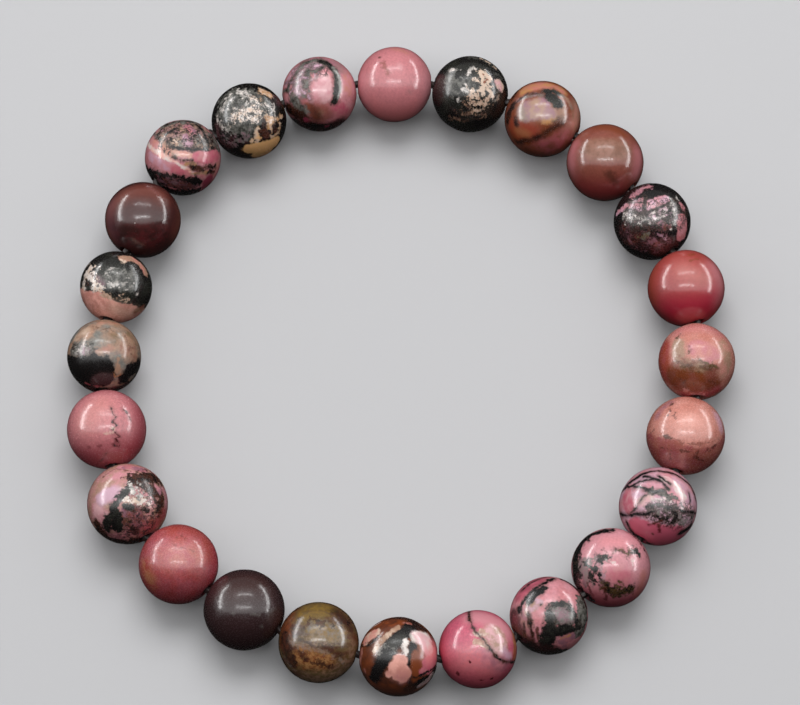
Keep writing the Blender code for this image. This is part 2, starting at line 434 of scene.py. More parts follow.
STONES = {
    "bead_01": stone(
        "rose",
        "rose",
        # Painted light: a bright blush across the foot, standing in for light bounced up onto it.
        layer("blush", (0.4, (-0.5, -0.75), (0.4, -0.8)), soft=0.4, strength=0.7),
        layer("pink_pale", (0.06, (-0.12, 0.38)), (0.05, (0.15, 0.5)), soft=0.12, strength=0.4),
        layer("orange", (0.1, (0.0, 0.95), (0.3, 0.85)), soft=0.1, strength=0.25),
        layer(
            "clay",
            (0.05, (-0.32, 0.62), (-0.24, 0.42), (-0.18, 0.3)),
            ragged=0.12, soft=0.06, strength=0.65,
        ),
        layer("brown", (0.045, (-0.39, 0.72)), ragged=0.03, soft=0.04, strength=0.85),
        layer(
            "pink",
            (0.3, (0.9, 0.1), (0.8, -0.5)),
            (0.25, (-0.86, 0.1), (-0.8, -0.45)),
            soft=0.2, strength=0.45,
        ),
        layer("grey", (0.07, (0.42, -0.2)), soft=0.1, strength=0.22),
        depth=0.25,
    ),
    "bead_02": stone(
        "black_and_cream",
        "black green_black",
        layer(
            "grey green_black",
            (0.16, (-0.55, 0.5), (-0.45, 0.15)),
            (0.12, (-0.25, 0.25), (0.05, 0.35)),
            (0.06, (0.62, 0.62), (0.78, 0.45)),
            (0.06, (0.0, 0.95), (0.4, 0.88)),
            ragged=0.28, strength=0.75,
        ),
        layer(
            "white grey",
            (0.03, (-0.06, 0.5), (0.0, 0.62), (0.12, 0.69)),
            (0.07, (-0.16, 0.1), (-0.02, 0.02)),
            (0.03, (-0.12, 0.26)),
            (0.03, (-0.32, -0.17)),
            (0.03, (-0.5, 0.62), (-0.3, 0.6)),
            ragged=0.12,
        ),
        layer(
            "cream",
            (0.12, (0.3, 0.55), (0.45, 0.45)),
            (0.1, (0.36, 0.38), (0.36, 0.14)),
            (0.06, (0.18, 0.36)),
            (0.05, (0.02, 0.06), (0.2, 0.08)),
            (0.05, (0.56, 0.2), (0.56, -0.05)),
            (0.04, (0.3, 0.92), (0.55, 0.78), (0.66, 0.7)),
            ragged=0.2,
        ),
        layer("rust", (0.02, (0.32, 0.52)), (0.014, (0.46, 0.4), (0.36, 0.3)), ragged=0.08),
        layer("pink_pale cream", (0.13, (0.74, 0.27), (0.8, 0.2)), ragged=0.06),
        layer("tan grey", (0.03, (0.76, -0.06), (0.64, -0.18)), ragged=0.14),
        layer(
            "cream tan",
            (0.07, (0.05, -0.22), (0.4, -0.26)),
            (0.06, (0.12, -0.4), (0.26, -0.42)),
            (0.05, (0.46, -0.14)),
            (0.05, (0.04, -0.08), (0.2, -0.06)),
            ragged=0.24,
        ),
        layer(
            "tan umber",
            (0.03, (-0.3, -0.48), (0.02, -0.5)),
            (0.04, (-0.46, -0.64), (-0.08, -0.68)),
            (0.03, (-0.1, -0.3), (-0.06, -0.38)),
            (0.02, (0.2, -0.62), (0.4, -0.56)),
            ragged=0.26, strength=0.85,
        ),
        pits=2.0,
    ),
    "bead_03": stone(
        "rust",
        "rust clay",
        layer("peach orange", (0.2, (-0.45, 0.78), (0.0, 0.88), (0.45, 0.76)), soft=0.1),
        layer("salmon tan", (0.2, (0.9, 0.3), (0.86, -0.05), (0.72, -0.35)), soft=0.15, strength=0.8),
        layer("brick", (0.28, (-0.72, -0.22), (-0.35, -0.38)), soft=0.12, strength=0.6),
        layer("orange", (0.12, (-0.66, -0.3), (-0.4, -0.42)), soft=0.12, strength=0.35),
        layer("clay rose_deep", (0.3, (0.1, -0.75), (0.6, -0.5)), soft=0.15, strength=0.8),
        layer("brown", (0.14, (-0.35, -0.85), (0.05, -0.95)), soft=0.2, strength=0.7),
        layer("tan", (0.12, (0.45, 0.3), (0.5, 0.05)), soft=0.1, strength=0.7),
        layer(
            "tan mauve",
            (0.28, (-0.42, 0.2), (-0.05, 0.32)),
            (0.2, (0.08, 0.16), (0.2, 0.12)),
            soft=0.06, ragged=0.02,
        ),
        layer("cream", (0.14, (-0.3, 0.14), (0.15, 0.12)), soft=0.2, strength=0.25),
        layer("grey", (0.1, (-0.56, 0.26), (-0.5, 0.05)), soft=0.12, strength=0.5),
        layer("orange tan", (0.06, (0.05, -0.08), (0.32, -0.05)), soft=0.06, ragged=0.06),
        layer("grey lilac", (0.05, (-0.62, 0.5), (-0.3, 0.62), (0.0, 0.62)), soft=0.06, strength=0.7),
        layer(
            "brown black",
            (0.085, (-0.66, -0.6), (-0.3, -0.55), (0.0, -0.42), (0.25, -0.24), (0.5, -0.1)),
            (0.04, (0.3, -0.08), (0.5, 0.02)),
            soft=0.08, strength=0.9,
        ),
        layer(
            "black brown",
            (0.1, (-0.92, -0.05), (-0.86, 0.2), (-0.76, 0.38)),
            (0.03, (-0.74, 0.34), (-0.62, 0.5), (-0.4, 0.64), (-0.1, 0.66), (0.05, 0.7)),
            (0.07, (-0.7, 0.0), (-0.68, -0.16)),
            (0.05, (-0.66, 0.72), (-0.8, 0.5)),
            ragged=0.06, soft=0.04, strength=0.9, halo=0.3,
        ),
        layer(
            "black green_black",
            (0.08, (0.08, 0.71), (0.28, 0.74), (0.42, 0.66)),
            (0.15, (0.18, 0.62), (0.38, 0.42)),
            ragged=0.06, halo=0.5,
        ),
        layer(
            "grey tan",
            (0.06, (0.5, 0.62), (0.66, 0.5), (0.74, 0.32)),
            soft=0.05, ragged=0.06, strength=0.7,
        ),
        grain=1.2,
    ),
    "bead_04": stone(
        "clay",
        "clay",
        layer("rust", (0.18, (-0.1, 0.94), (0.35, 0.8)), soft=0.25, strength=0.7),
        # Painted reflection: a tan band across the upper middle, where the lamps' haze shows on the polish.
        layer("tan olive", (0.3, (-0.3, 0.36), (0.4, 0.34)), soft=0.12, strength=0.4),
        layer(
            "rose",
            (0.16, (-0.82, 0.42), (-0.88, 0.0)),
            (0.16, (0.88, 0.2), (0.82, -0.25)),
            soft=0.2, strength=0.7,
        ),
        layer("crimson", (0.35, (-0.5, -0.7), (0.3, -0.7)), soft=0.3, strength=0.35),
        layer(
            "rose",
            (0.2, (-0.86, 0.3), (-0.86, -0.2)),
            (0.2, (0.88, 0.2), (0.84, -0.2)),
            soft=0.25, strength=0.5,
        ),
        layer("brown", (0.1, (0.1, -0.3), (0.24, -0.45)), soft=0.1, ragged=0.08, strength=0.75),
        layer("rust", (0.04, (0.3, 0.9), (0.5, 0.7)), (0.02, (-0.4, 0.72)), soft=0.05, strength=0.5),
        depth=0.5,
    ),
    "bead_05": stone(
        "veined",
        "black",
        layer("maroon umber", (0.3, (-0.7, -0.3), (0.3, -0.6)), ragged=0.26, soft=0.08, strength=0.7),
        layer("mauve clay", (0.4, (-0.55, -0.35), (0.1, -0.55)), net=5.5, ragged=0.08, strength=0.5),
        layer(
            "clay mauve",
            (0.05, (-0.1, -0.48), (0.12, -0.54), (0.2, -0.66)),
            (0.04, (-0.62, -0.45), (-0.5, -0.56)),
            ragged=0.18, strength=0.8,
        ),
        layer("olive grey", (0.05, (-0.3, -0.4), (-0.12, -0.34)), ragged=0.16, strength=0.8),
        layer("mauve lilac", (0.04, (0.2, -0.36), (0.34, -0.42)), ragged=0.14, strength=0.8),
        layer(
            "mauve clay",
            (0.09, (0.2, -0.02), (0.4, -0.1)),
            (0.05, (0.3, -0.2)),
            ragged=0.15, strength=0.9,
        ),
        layer(
            "white grey",
            (0.12, (-0.68, 0.14), (-0.5, 0.1), (-0.32, 0.08)),
            (0.06, (-0.12, 0.04), (0.0, 0.0)),
            (0.05, (0.5, 0.5), (0.6, 0.1), (0.55, -0.15)),
            (0.03, (0.63, 0.62)),
            ragged=0.26,
        ),
        layer("lilac white", (0.13, (0.0, 0.1), (0.22, 0.2)), (0.08, (0.32, 0.32)), ragged=0.16),
        layer(
            "lilac pink",
            (0.07, (-0.92, 0.2), (-0.62, 0.42), (-0.3, 0.54)),
            (0.12, (-0.52, 0.4), (-0.3, 0.38)),
            ragged=0.1,
        ),
        layer("mauve pink", (0.12, (-0.44, 0.72), (-0.26, 0.84), (-0.1, 0.92)), ragged=0.16, strength=0.8),
        layer("pink lilac", (0.14, (0.0, 0.46), (0.25, 0.56)), (0.1, (0.34, 0.6)), (0.07, (-0.1, 0.34))),
        layer(
            "pink rose",
            (0.2, (0.78, 0.0), (0.77, -0.32)),
            (0.07, (0.74, 0.44), (0.82, 0.34)),
            ragged=0.06,
        ),
        layer("clay", (0.02, (0.15, 0.57))),
        layer("grey lilac", (0.3, (-0.4, 0.3), (0.5, 0.2)), net=7.0, ragged=0.06, strength=0.45),
        layer(
            "black",
            (0.02, (-0.14, 0.2), (0.1, 0.3), (0.3, 0.42), (0.52, 0.56)),
            (0.018, (-0.4, 0.26), (-0.15, 0.12), (0.05, -0.02)),
            (0.018, (0.08, 0.28), (0.2, 0.1), (0.4, 0.0)),
            (0.026, (-0.2, 0.62), (-0.22, 0.3)),
            (0.014, (-0.6, 0.5), (-0.3, 0.48)),
            (0.02, (-0.7, 0.3), (-0.5, 0.32), (-0.3, 0.2)),
            (0.02, (0.86, 0.5), (0.9, 0.2)),
            ragged=0.06, halo=0.4,
        ),
        layer(
            "black green_black",
            (0.4, (-0.4, 0.15), (0.6, 0.2)),
            net=5.0, strength=0.9, ragged=0.08, halo=0.6,
        ),
        pits=2.0,
    ),
    "bead_06": stone(
        "coral",
        "coral",
        layer("salmon", (0.24, (-0.1, 0.5), (0.35, 0.3)), soft=0.35, strength=0.35),
        layer("brick", (0.25, (-0.86, 0.4), (-0.9, -0.2)), soft=0.25, strength=0.7),
        layer("rose", (0.2, (0.72, 0.55), (0.9, 0.0)), soft=0.3),
        layer("crimson", (0.4, (-0.3, -0.6), (0.2, -0.55), (0.7, -0.4)), soft=0.35),
        # Painted shade: dark red deepens the foot.
        layer("red_dark", (0.2, (-0.6, -0.75), (0.0, -0.95)), soft=0.3, strength=0.5),
        layer("rose", (0.22, (0.88, 0.2), (0.84, -0.3)), soft=0.25, strength=0.5),
        layer("brick", (0.3, (-0.4, 0.84), (0.3, 0.86)), soft=0.3, strength=0.4),
        layer(
            "rust",
            (0.05, (0.12, 0.72), (0.28, 0.76)),
            (0.03, (0.1, 0.84), (0.2, 0.9)),
            ragged=0.1, soft=0.05, strength=0.6,
        ),
        grain=0.9,
        depth=0.5,
    ),
    "bead_07": stone(
        "peach",
        "peach salmon",
        layer("rose", (0.2, (-0.5, 0.78), (0.1, 0.9), (0.6, 0.72)), soft=0.2, strength=0.5),
        layer("brick coral", (0.3, (-0.86, 0.3), (-0.8, -0.3)), soft=0.12, strength=0.9),
        layer("rust clay", (0.42, (-0.45, -0.46), (0.3, -0.48)), soft=0.1, ragged=0.07),
        layer("brown rust", (0.16, (-0.4, -0.35), (-0.35, -0.6)), soft=0.15, ragged=0.12, strength=0.5),
        layer("tan salmon", (0.2, (0.72, 0.4), (0.8, 0.0), (0.7, -0.28)), soft=0.12),
        layer("rose_deep coral", (0.16, (-0.3, -0.86), (0.5, -0.75)), soft=0.1, ragged=0.06),
        layer(
            "pink_pale salmon",
            (0.03, (-0.35, -0.7), (-0.1, -0.82), (0.15, -0.84)),
            ragged=0.22, strength=0.6,
        ),
        layer("tan", (0.17, (-0.48, 0.46), (-0.46, 0.2)), soft=0.08, ragged=0.1),
        layer(
            "tan clay",
            (0.15, (-0.5, 0.0), (-0.1, -0.06), (0.25, -0.14), (0.42, -0.2)),
            soft=0.06, ragged=0.08,
        ),
        layer("olive", (0.12, (-0.3, -0.1), (0.2, -0.16)), soft=0.12, ragged=0.1, strength=0.4),
        layer("salmon rose", (0.24, (0.0, 0.36), (0.38, 0.24)), (0.16, (0.3, 0.1)), soft=0.05, ragged=0.02),
        layer(
            "brown olive",
            (0.016, (0.0, 0.06), (0.18, 0.0), (0.34, -0.07)),
            (0.04, (0.32, -0.1), (0.48, -0.13)),
            (0.015, (-0.22, 0.34), (-0.2, 0.24)),
            (0.02, (-0.3, -0.12), (-0.15, -0.14)),
            (0.014, (-0.5, 0.62), (-0.42, 0.7)),
            ragged=0.1, halo=0.3,
        ),
        layer(
            "brown",
            (0.0, (-0.5, 0.0), (0.0, -0.14), (0.4, -0.2)),
            (0.0, (-0.3, -0.5), (0.4, -0.5)),
            ragged=0.24, strength=0.6,
        ),
        uneven=2.2,
        pits=2.0,
    ),
    "bead_08": stone(
        "peach",
        "peach salmon",
        # Painted highlight: a pale shell sheen over the upper middle.
        layer("shell", (0.3, (-0.1, 0.4), (0.4, 0.3)), soft=0.3, strength=0.4),
        layer(
            "peach rose_deep",
            (0.45, (-0.85, -0.38), (-0.35, -0.52), (0.1, -0.68), (0.5, -0.68), (0.9, -0.42)),
        ),
        layer(
            "clay",
            (0.45, (-0.85, -0.38), (-0.35, -0.52), (0.1, -0.68), (0.5, -0.68), (0.9, -0.42)),
            soft=0.06, ragged=0.08, strength=0.4,
        ),
        layer(
            "clay red_dark",
            (0.2, (-0.8, -0.4), (-0.5, -0.7)),
            (0.1, (0.25, -0.55), (0.5, -0.66)),
            soft=0.2, ragged=0.1, strength=0.5,
        ),
        layer("salmon", (0.07, (-0.05, -0.4), (-0.1, -0.8)), soft=0.1, strength=0.6),
        layer("rose mauve", (0.12, (-0.72, 0.5), (-0.6, 0.68), (-0.4, 0.84)), soft=0.1, strength=0.7),
        layer("lilac", (0.12, (0.8, 0.5), (0.9, 0.2)), soft=0.12, strength=0.8),
        layer(
            "brown",
            (0.0, (-0.6, -0.3), (0.0, -0.4), (0.5, -0.4), (0.8, -0.2)),
            ragged=0.24, strength=0.7,
        ),
        layer(
            "brown clay",
            (0.014, (-0.9, 0.1), (-0.6, 0.02), (-0.3, -0.08), (0.1, -0.22), (0.5, -0.2), (0.85, -0.08)),
            ragged=0.1, strength=0.6,
        ),
        layer(
            "brown",
            (0.025, (-0.34, 0.86), (-0.38, 0.7), (-0.42, 0.54)),
            (0.02, (-0.3, 0.55), (-0.22, 0.48)),
            (0.05, (-0.5, -0.02), (-0.42, -0.08)),
            (0.025, (-0.8, 0.1)),
            (0.025, (0.66, -0.26), (0.76, -0.24)),
            (0.014, (-0.4, -0.4), (-0.38, -0.6)),
            (0.02, (0.24, -0.52), (0.44, -0.64)),
            ragged=0.12, strength=0.8,
        ),
        uneven=1.5,
        grain=1.2,
        pits=2.0,
        depth=0.4,
    ),
    "bead_09": stone(
        "veined",
        "lilac pink",
        layer("pink hot_pink", (0.2, (-0.82, 0.26), (-0.74, -0.02)), soft=0.04),
        layer("cream pink_pale", (0.12, (-0.42, 0.12), (-0.22, 0.2)), soft=0.06, strength=0.7),
        layer(
            "hot_pink",
            (0.32, (-0.5, -0.55), (-0.1, -0.68), (0.4, -0.72)),
            (0.4, (-0.2, -0.92), (0.3, -0.92)),
            soft=0.05, ragged=0.06,
        ),
        layer("pink_pale white", (0.13, (0.18, 0.7), (0.48, 0.5), (0.62, 0.26))),
        layer("lilac pink_pale", (0.1, (0.6, 0.06), (0.82, -0.02)), ragged=0.04),
        # Partly a painted highlight of the lamp bar across the middle, partly white stone.
        layer("white", (0.035, (-0.12, 0.16), (0.14, 0.18), (0.36, 0.12)), ragged=0.1, strength=0.7),
        layer("grey lilac", (0.16, (0.5, -0.32), (0.72, -0.36), (0.86, -0.26)), ragged=0.14),
        layer("grey green_black", (0.1, (-0.2, 0.38), (0.1, 0.34), (0.38, 0.22)), ragged=0.16),
        layer("lilac grey", (0.16, (-0.16, -0.14), (0.15, -0.14), (0.42, -0.16)), ragged=0.16),
        layer(
            "black green_black",
            (0.26, (-0.06, -0.14), (0.42, -0.16)),
            net=6.5, ragged=0.1, strength=0.95, halo=0.6,
        ),
        layer(
            "black",
            (0.035, (-0.24, 0.0), (0.0, 0.02), (0.3, 0.0)),
            (0.05, (-0.04, -0.24), (0.1, -0.3), (0.3, -0.28)),
            (0.04, (0.1, 0.0), (0.16, -0.16)),
            (0.05, (0.36, -0.02), (0.44, -0.24), (0.36, -0.42)),
            ragged=0.14, halo=0.4,
        ),
        layer("black", (0.36, (0.15, -0.12), (0.74, -0.3)), net=4.5, strength=0.9, ragged=0.04, halo=0.4),
        layer(
            "black",
            (0.035, (-0.96, 0.36), (-0.78, 0.5), (-0.5, 0.5), (-0.3, 0.42), (-0.1, 0.37), (0.15, 0.4)),
            (0.022, (-0.34, 0.28), (-0.5, 0.1), (-0.56, -0.06), (-0.7, -0.17)),
            (0.034, (-0.96, -0.2), (-0.6, -0.2), (-0.3, -0.18), (-0.12, -0.12)),
            (0.045, (-0.45, 0.8), (-0.2, 0.88), (0.1, 0.9), (0.38, 0.84)),
            (0.045, (0.38, 0.84), (0.6, 0.72), (0.82, 0.52), (0.96, 0.2)),
            (0.038, (-0.36, 0.76), (-0.1, 0.7), (0.1, 0.62), (0.24, 0.46)),
            (0.028, (0.0, 0.78), (0.16, 0.66), (0.3, 0.56)),
            (0.05, (-0.82, 0.5), (-0.55, 0.72), (-0.3, 0.84)),
            (0.03, (-0.6, 0.56), (-0.34, 0.66), (-0.1, 0.7)),
            (0.02, (0.78, 0.36), (0.82, 0.1)),
            (0.03, (0.44, -0.02), (0.64, -0.12), (0.97, -0.16)),
            (0.05, (-0.8, -0.4), (-0.56, -0.74), (-0.2, -0.95)),
            (0.08, (0.56, -0.68), (0.82, -0.5)),
            ragged=0.04, halo=0.5,
        ),
        layer(
            "brown red_dark",
            (0.022, (-0.26, -0.45), (-0.06, -0.41), (0.1, -0.38)),
            (0.035, (0.0, -0.4), (0.05, -0.62)),
            (0.02, (-0.14, -0.7)),
            soft=0.04,
        ),
        depth=0.1,
    ),
    "bead_10": stone(
        "veined",
        "pink",
        layer("hot_pink rose", (0.26, (0.12, -0.1), (0.28, -0.24)), soft=0.16, strength=0.7),
        layer("magenta rose_deep", (0.4, (-0.4, -0.85), (0.5, -0.85)), soft=0.3, strength=0.9),
        layer("peach", (0.14, (0.82, -0.2), (0.7, -0.6)), soft=0.14, strength=0.7),
        layer(
            "mauve grey",
            (0.2, (-0.74, 0.05), (-0.62, -0.3)),
            (0.08, (-0.5, 0.2), (-0.1, 0.24)),
            ragged=0.2, strength=0.85,
        ),
        layer(
            "black green_black",
            (0.2, (-0.86, 0.42), (-0.9, 0.1), (-0.86, -0.12)),
            (0.08, (-0.66, 0.14), (-0.5, 0.04)),
            ragged=0.2,
        ),
        layer("lilac grey", (0.05, (-0.3, 0.1), (-0.2, -0.14), (-0.24, -0.36)), ragged=0.14, strength=0.7),
        layer(
            "black",
            (0.16, (-0.86, 0.3), (-0.76, 0.58), (-0.56, 0.78)),
            (0.12, (-0.56, 0.78), (-0.35, 0.88), (0.0, 0.95)),
            (0.04, (-0.56, 0.68)),
            (0.04, (-0.68, 0.6)),
            (0.03, (0.45, 0.88), (0.74, 0.62), (0.92, 0.3)),
            (0.16, (-0.88, -0.3), (-0.78, -0.52), (-0.55, -0.76)),
            ragged=0.14, halo=0.4,
        ),
        layer(
            "black green_black",
            (0.09, (-0.36, 0.0), (-0.44, -0.16), (-0.5, -0.32), (-0.4, -0.3)),
            (0.05, (-0.3, -0.16), (-0.26, -0.34)),
            (0.08, (-0.26, 0.22), (-0.12, 0.28)),
            (0.07, (0.54, 0.4), (0.68, 0.43)),
            ragged=0.2, halo=0.5,
        ),
        layer(
            "black olive",
            (0.12, (-0.12, -0.48), (0.0, -0.6), (0.25, -0.62), (0.5, -0.56)),
            (0.07, (0.12, -0.44), (0.24, -0.46)),
            ragged=0.16, halo=0.5,
        ),
        layer(
            "black olive",
            (0.03, (0.08, 0.44), (0.28, 0.43), (0.42, 0.33), (0.52, 0.4)),
            ragged=0.12, halo=0.5,
        ),
        layer(
            "white",
            (0.02, (-0.1, 0.16), (0.1, 0.12)),
            (0.02, (0.52, 0.28), (0.56, 0.06)),
            ragged=0.1, strength=0.6,
        ),
        layer(
            "brown red_dark",
            (0.025, (-0.56, -0.42), (-0.5, -0.6), (-0.44, -0.78)),
            (0.03, (-0.16, -0.5), (-0.1, -0.8)),
            ragged=0.08, strength=0.8,
        ),
        layer("blush", (0.16, (-0.1, 0.66), (0.3, 0.62)), soft=0.2, strength=0.3),
        depth=0.6,
    ),
    "bead_11": stone(
        "veined",
        "pink rose",
        layer("hot_pink magenta", (0.3, (-0.7, 0.62), (-0.3, 0.9)), soft=0.12, strength=0.8),
        layer("mauve tan", (0.22, (-0.6, -0.15), (-0.5, -0.6)), soft=0.1, ragged=0.1, strength=0.7),
        layer("tan lilac", (0.15, (-0.52, 0.16), (-0.3, 0.32)), soft=0.06, ragged=0.08),
        layer(
            "maroon black",
            (0.3, (-0.88, -0.1), (-0.76, -0.45), (-0.56, -0.7)),
            soft=0.12, ragged=0.08, strength=0.85,
        ),
        layer(
            "brown black",
            (0.07, (-0.5, 0.02), (-0.48, -0.2), (-0.42, -0.45), (-0.4, -0.7)),
            (0.04, (-0.62, -0.15), (-0.6, -0.5)),
            soft=0.05, ragged=0.08,
        ),
        layer("brown", (0.035, (-0.3, -0.28), (-0.26, -0.6)), ragged=0.08, strength=0.9),
        layer("grey green_black", (0.27, (0.86, 0.28), (0.88, -0.05), (0.78, -0.36)), ragged=0.14),
        layer("grey green_black", (0.28, (0.2, 0.0), (0.4, 0.04), (0.44, -0.1)), ragged=0.1, halo=0.4),
        layer("mauve grey", (0.18, (0.26, 0.04), (0.5, -0.1)), ragged=0.2, strength=0.8),
        layer(
            "black green_black",
            (0.07, (-0.02, 0.16), (0.1, 0.27), (0.3, 0.32), (0.48, 0.28), (0.6, 0.12)),
            (0.12, (0.02, 0.0), (0.06, -0.2)),
            (0.05, (0.64, 0.1), (0.7, -0.2)),
            (0.16, (0.0, -0.3), (0.2, -0.4), (0.5, -0.34)),
            (0.2, (-0.02, -0.5), (-0.1, -0.9)),
            (0.4, (-0.6, -0.76), (-0.2, -0.95), (0.1, -0.98)),
            (0.06, (0.6, -0.3), (0.78, -0.3)),
            ragged=0.12, halo=0.4,
        ),
        layer(
            "black",
            (0.06, (0.12, 0.94), (-0.12, 0.82), (-0.35, 0.68), (-0.58, 0.46), (-0.7, 0.26), (-0.74, 0.08)),
            (0.11, (-0.14, 0.7), (-0.38, 0.52), (-0.52, 0.36)),
            (0.07, (0.35, 0.92), (0.62, 0.76), (0.84, 0.5), (0.95, 0.24)),
            (0.014, (0.0, 0.98), (-0.4, 0.86), (-0.7, 0.62)),
            (0.025, (-0.2, 0.3)),
            (0.02, (-0.02, 0.27)),
            (0.02, (-0.78, 0.24)),
            ragged=0.08, halo=0.45,
        ),
        layer("maroon umber", (0.18, (-0.3, -0.8), (0.0, -0.86)), soft=0.1, ragged=0.12, strength=0.7),
        layer("rose mauve", (0.15, (0.36, -0.64), (0.56, -0.56)), (0.1, (0.38, -0.8)), ragged=0.06),
        layer("orange", (0.03, (0.3, -0.58), (0.5, -0.52)), ragged=0.06, strength=0.9),
        layer("black", (0.03, (0.18, -0.48), (0.4, -0.42), (0.64, -0.36))),
        depth=0.3,
    ),
    "bead_12": stone(
        "rose",
        "hot_pink",
        layer("pink", (0.3, (-0.1, 0.85), (0.3, 0.75), (0.7, 0.5)), soft=0.2, strength=0.8),
        layer("crimson", (0.3, (-0.95, 0.2), (-0.85, -0.4)), soft=0.3, strength=0.6),
        layer("blush pink", (0.3, (-0.2, -0.2), (0.35, -0.3)), soft=0.2, ragged=0.12, strength=0.5),
        # Painted light: a bright blush across the lower part, standing in for light bounced up onto it.
        layer("blush", (0.35, (-0.5, -0.4), (0.2, -0.6)), soft=0.35, strength=0.4),
        layer("mauve pink", (0.25, (0.35, -0.12), (0.6, -0.4)), soft=0.2, strength=0.7),
        layer("tan pink_pale", (0.28, (0.4, 0.4), (0.56, 0.14)), soft=0.1),
        layer("lilac", (0.1, (0.68, -0.05), (0.8, -0.2)), soft=0.1, strength=0.9),
        layer(
            "cream tan",
            (0.09, (-0.02, 0.38), (0.16, 0.42)),
            (0.09, (-0.06, 0.2), (0.22, 0.1)),
            ragged=0.12, strength=0.85,
        ),
        layer("orange brick", (0.12, (0.86, 0.5), (0.95, 0.1), (0.93, -0.2)), soft=0.08, strength=0.9),
        layer(
            "black brown",
            (0.034, (-0.22, 0.98), (-0.2, 0.75), (-0.12, 0.56), (-0.04, 0.42)),
            (0.018, (-0.04, 0.42), (0.1, 0.3), (0.2, 0.15), (0.28, 0.05)),
            (0.032, (0.28, 0.05), (0.4, -0.1), (0.5, -0.22), (0.66, -0.3), (0.96, -0.3)),
            ragged=0.04, halo=0.4,
        ),
        layer(
            "red_dark",
            (0.06, (-0.5, -0.63)),
            (0.03, (0.1, -0.78)),
            (0.035, (0.36, -0.74)),
            (0.014, (-0.2, -0.3)),
            (0.02, (-0.62, 0.1)),
            ragged=0.08,
        ),
        grain=1.5,
        depth=0.65,
    ),
    "bead_13": stone(
        "patched",
        "rust brown",
        layer(
            "black",
            (0.2, (0.42, 0.78), (0.14, 0.55), (-0.1, 0.36), (-0.26, 0.14), (-0.4, -0.12)),
            (0.17, (-0.4, -0.12), (-0.54, -0.36), (-0.6, -0.56)),
            (0.12, (0.36, 0.28), (0.34, 0.0), (0.28, -0.2)),
            (0.16, (0.3, -0.8), (0.6, -0.62), (0.96, -0.3)),
            (0.04, (-0.95, 0.25), (-0.7, 0.3), (-0.45, 0.5)),
            (0.1, (0.1, 0.97), (0.5, 0.86)),
            (0.06, (0.3, -0.5), (0.28, -0.66)),
            soft=0.05, ragged=0.06,
        ),
        layer(
            "brown black",
            (0.12, (0.28, 0.84), (0.62, 0.68)),
            (0.1, (-0.3, 0.88)),
            soft=0.05, ragged=0.1, strength=0.85,
        ),
        layer("brown", (0.3, (-0.4, -0.85), (0.2, -0.9)), soft=0.15, strength=0.7),
        layer("cream salmon", (0.17, (-0.8, 0.44), (-0.6, 0.58)), ragged=0.03),
        layer("rust brown", (0.12, (-0.5, 0.78), (-0.2, 0.86)), soft=0.05, ragged=0.1),
        layer("pink_pale cream", (0.035, (-0.74, 0.66), (-0.45, 0.86)), ragged=0.06),
        layer("brown black", (0.14, (0.05, 0.98), (0.4, 0.86), (0.64, 0.7)), soft=0.1, strength=0.8),
        layer(
            "clay salmon",
            (0.045, (0.15, 0.84), (0.28, 0.82)),
            (0.1, (-0.93, 0.12), (-0.96, -0.16)),
            (0.05, (-0.84, -0.36)),
        ),
        layer("green_black", (0.14, (-0.2, 0.3), (0.08, 0.48)), ragged=0.1, strength=0.8),
        layer("cream tan", (0.07, (-0.6, 0.16), (-0.44, 0.38), (-0.25, 0.54), (-0.02, 0.72)), ragged=0.06),
        layer("grey white", (0.06, (-0.5, 0.1), (-0.4, 0.3)), ragged=0.14, strength=0.7),
        layer("grey", (0.03, (-0.3, 0.2), (-0.1, 0.2)), ragged=0.14, strength=0.6),
        layer("white", (0.065, (0.2, 0.42), (0.16, 0.24), (0.17, 0.08)), ragged=0.06),
        layer("rust", (0.12, (0.44, 0.02), (0.42, -0.3), (0.5, -0.4)), soft=0.05),
        layer("rose hot_pink", (0.26, (0.9, 0.0), (0.78, -0.2)), (0.12, (0.62, -0.36)), soft=0.04),
        layer(
            "pink_pale white",
            (0.2, (0.5, 0.48), (0.72, 0.42)),
            (0.22, (0.74, 0.24)),
            soft=0.05, ragged=0.04,
        ),
        layer("blush", (0.2, (0.92, 0.2), (0.78, -0.02)), soft=0.2, strength=0.7),
        layer(
            "shell salmon",
            (0.17, (0.02, -0.12), (0.06, -0.12)),
            (0.24, (-0.02, -0.32), (0.08, -0.42)),
            (0.09, (-0.24, -0.44)),
            (0.13, (0.1, -0.56)),
            ragged=0.025,
        ),
        layer("rose salmon", (0.12, (-0.02, -0.5), (0.12, -0.56)), soft=0.15, strength=0.6),
        layer("pink_pale grey", (0.1, (0.55, -0.72), (0.85, -0.46)), ragged=0.08),
        layer(
            "black",
            (0.03, (0.4, -0.52), (0.7, -0.4), (0.96, -0.2)),
            (0.012, (-0.95, 0.25), (-0.7, 0.38), (-0.5, 0.52)),
        ),
        grain=1.2,
    ),
    "bead_14": stone(
        "olive",
        "olive brown",
        layer("gold olive", (0.3, (-0.3, 0.72), (0.2, 0.84)), soft=0.15, ragged=0.12, strength=0.8),
        layer("brown rust", (0.3, (-0.8, 0.5), (-0.84, 0.1)), soft=0.15, ragged=0.12, strength=0.85),
        layer("brown black", (0.2, (0.45, 0.72), (0.7, 0.5)), soft=0.12, ragged=0.12, strength=0.7),
        layer("rust orange", (0.28, (-0.42, -0.36), (0.15, -0.5)), soft=0.15, ragged=0.2, strength=0.75),
        layer("brown", (0.06, (-0.42, -0.26), (-0.3, -0.4)), ragged=0.16, strength=0.8),
        layer(
            "tan olive",
            (0.3, (0.85, -0.3), (0.5, -0.7), (-0.2, -0.9)),
            soft=0.2, ragged=0.12, strength=0.6,
        ),
        layer("tan olive", (0.22, (-0.1, 0.1), (0.5, 0.3)), ragged=0.3, strength=0.5),
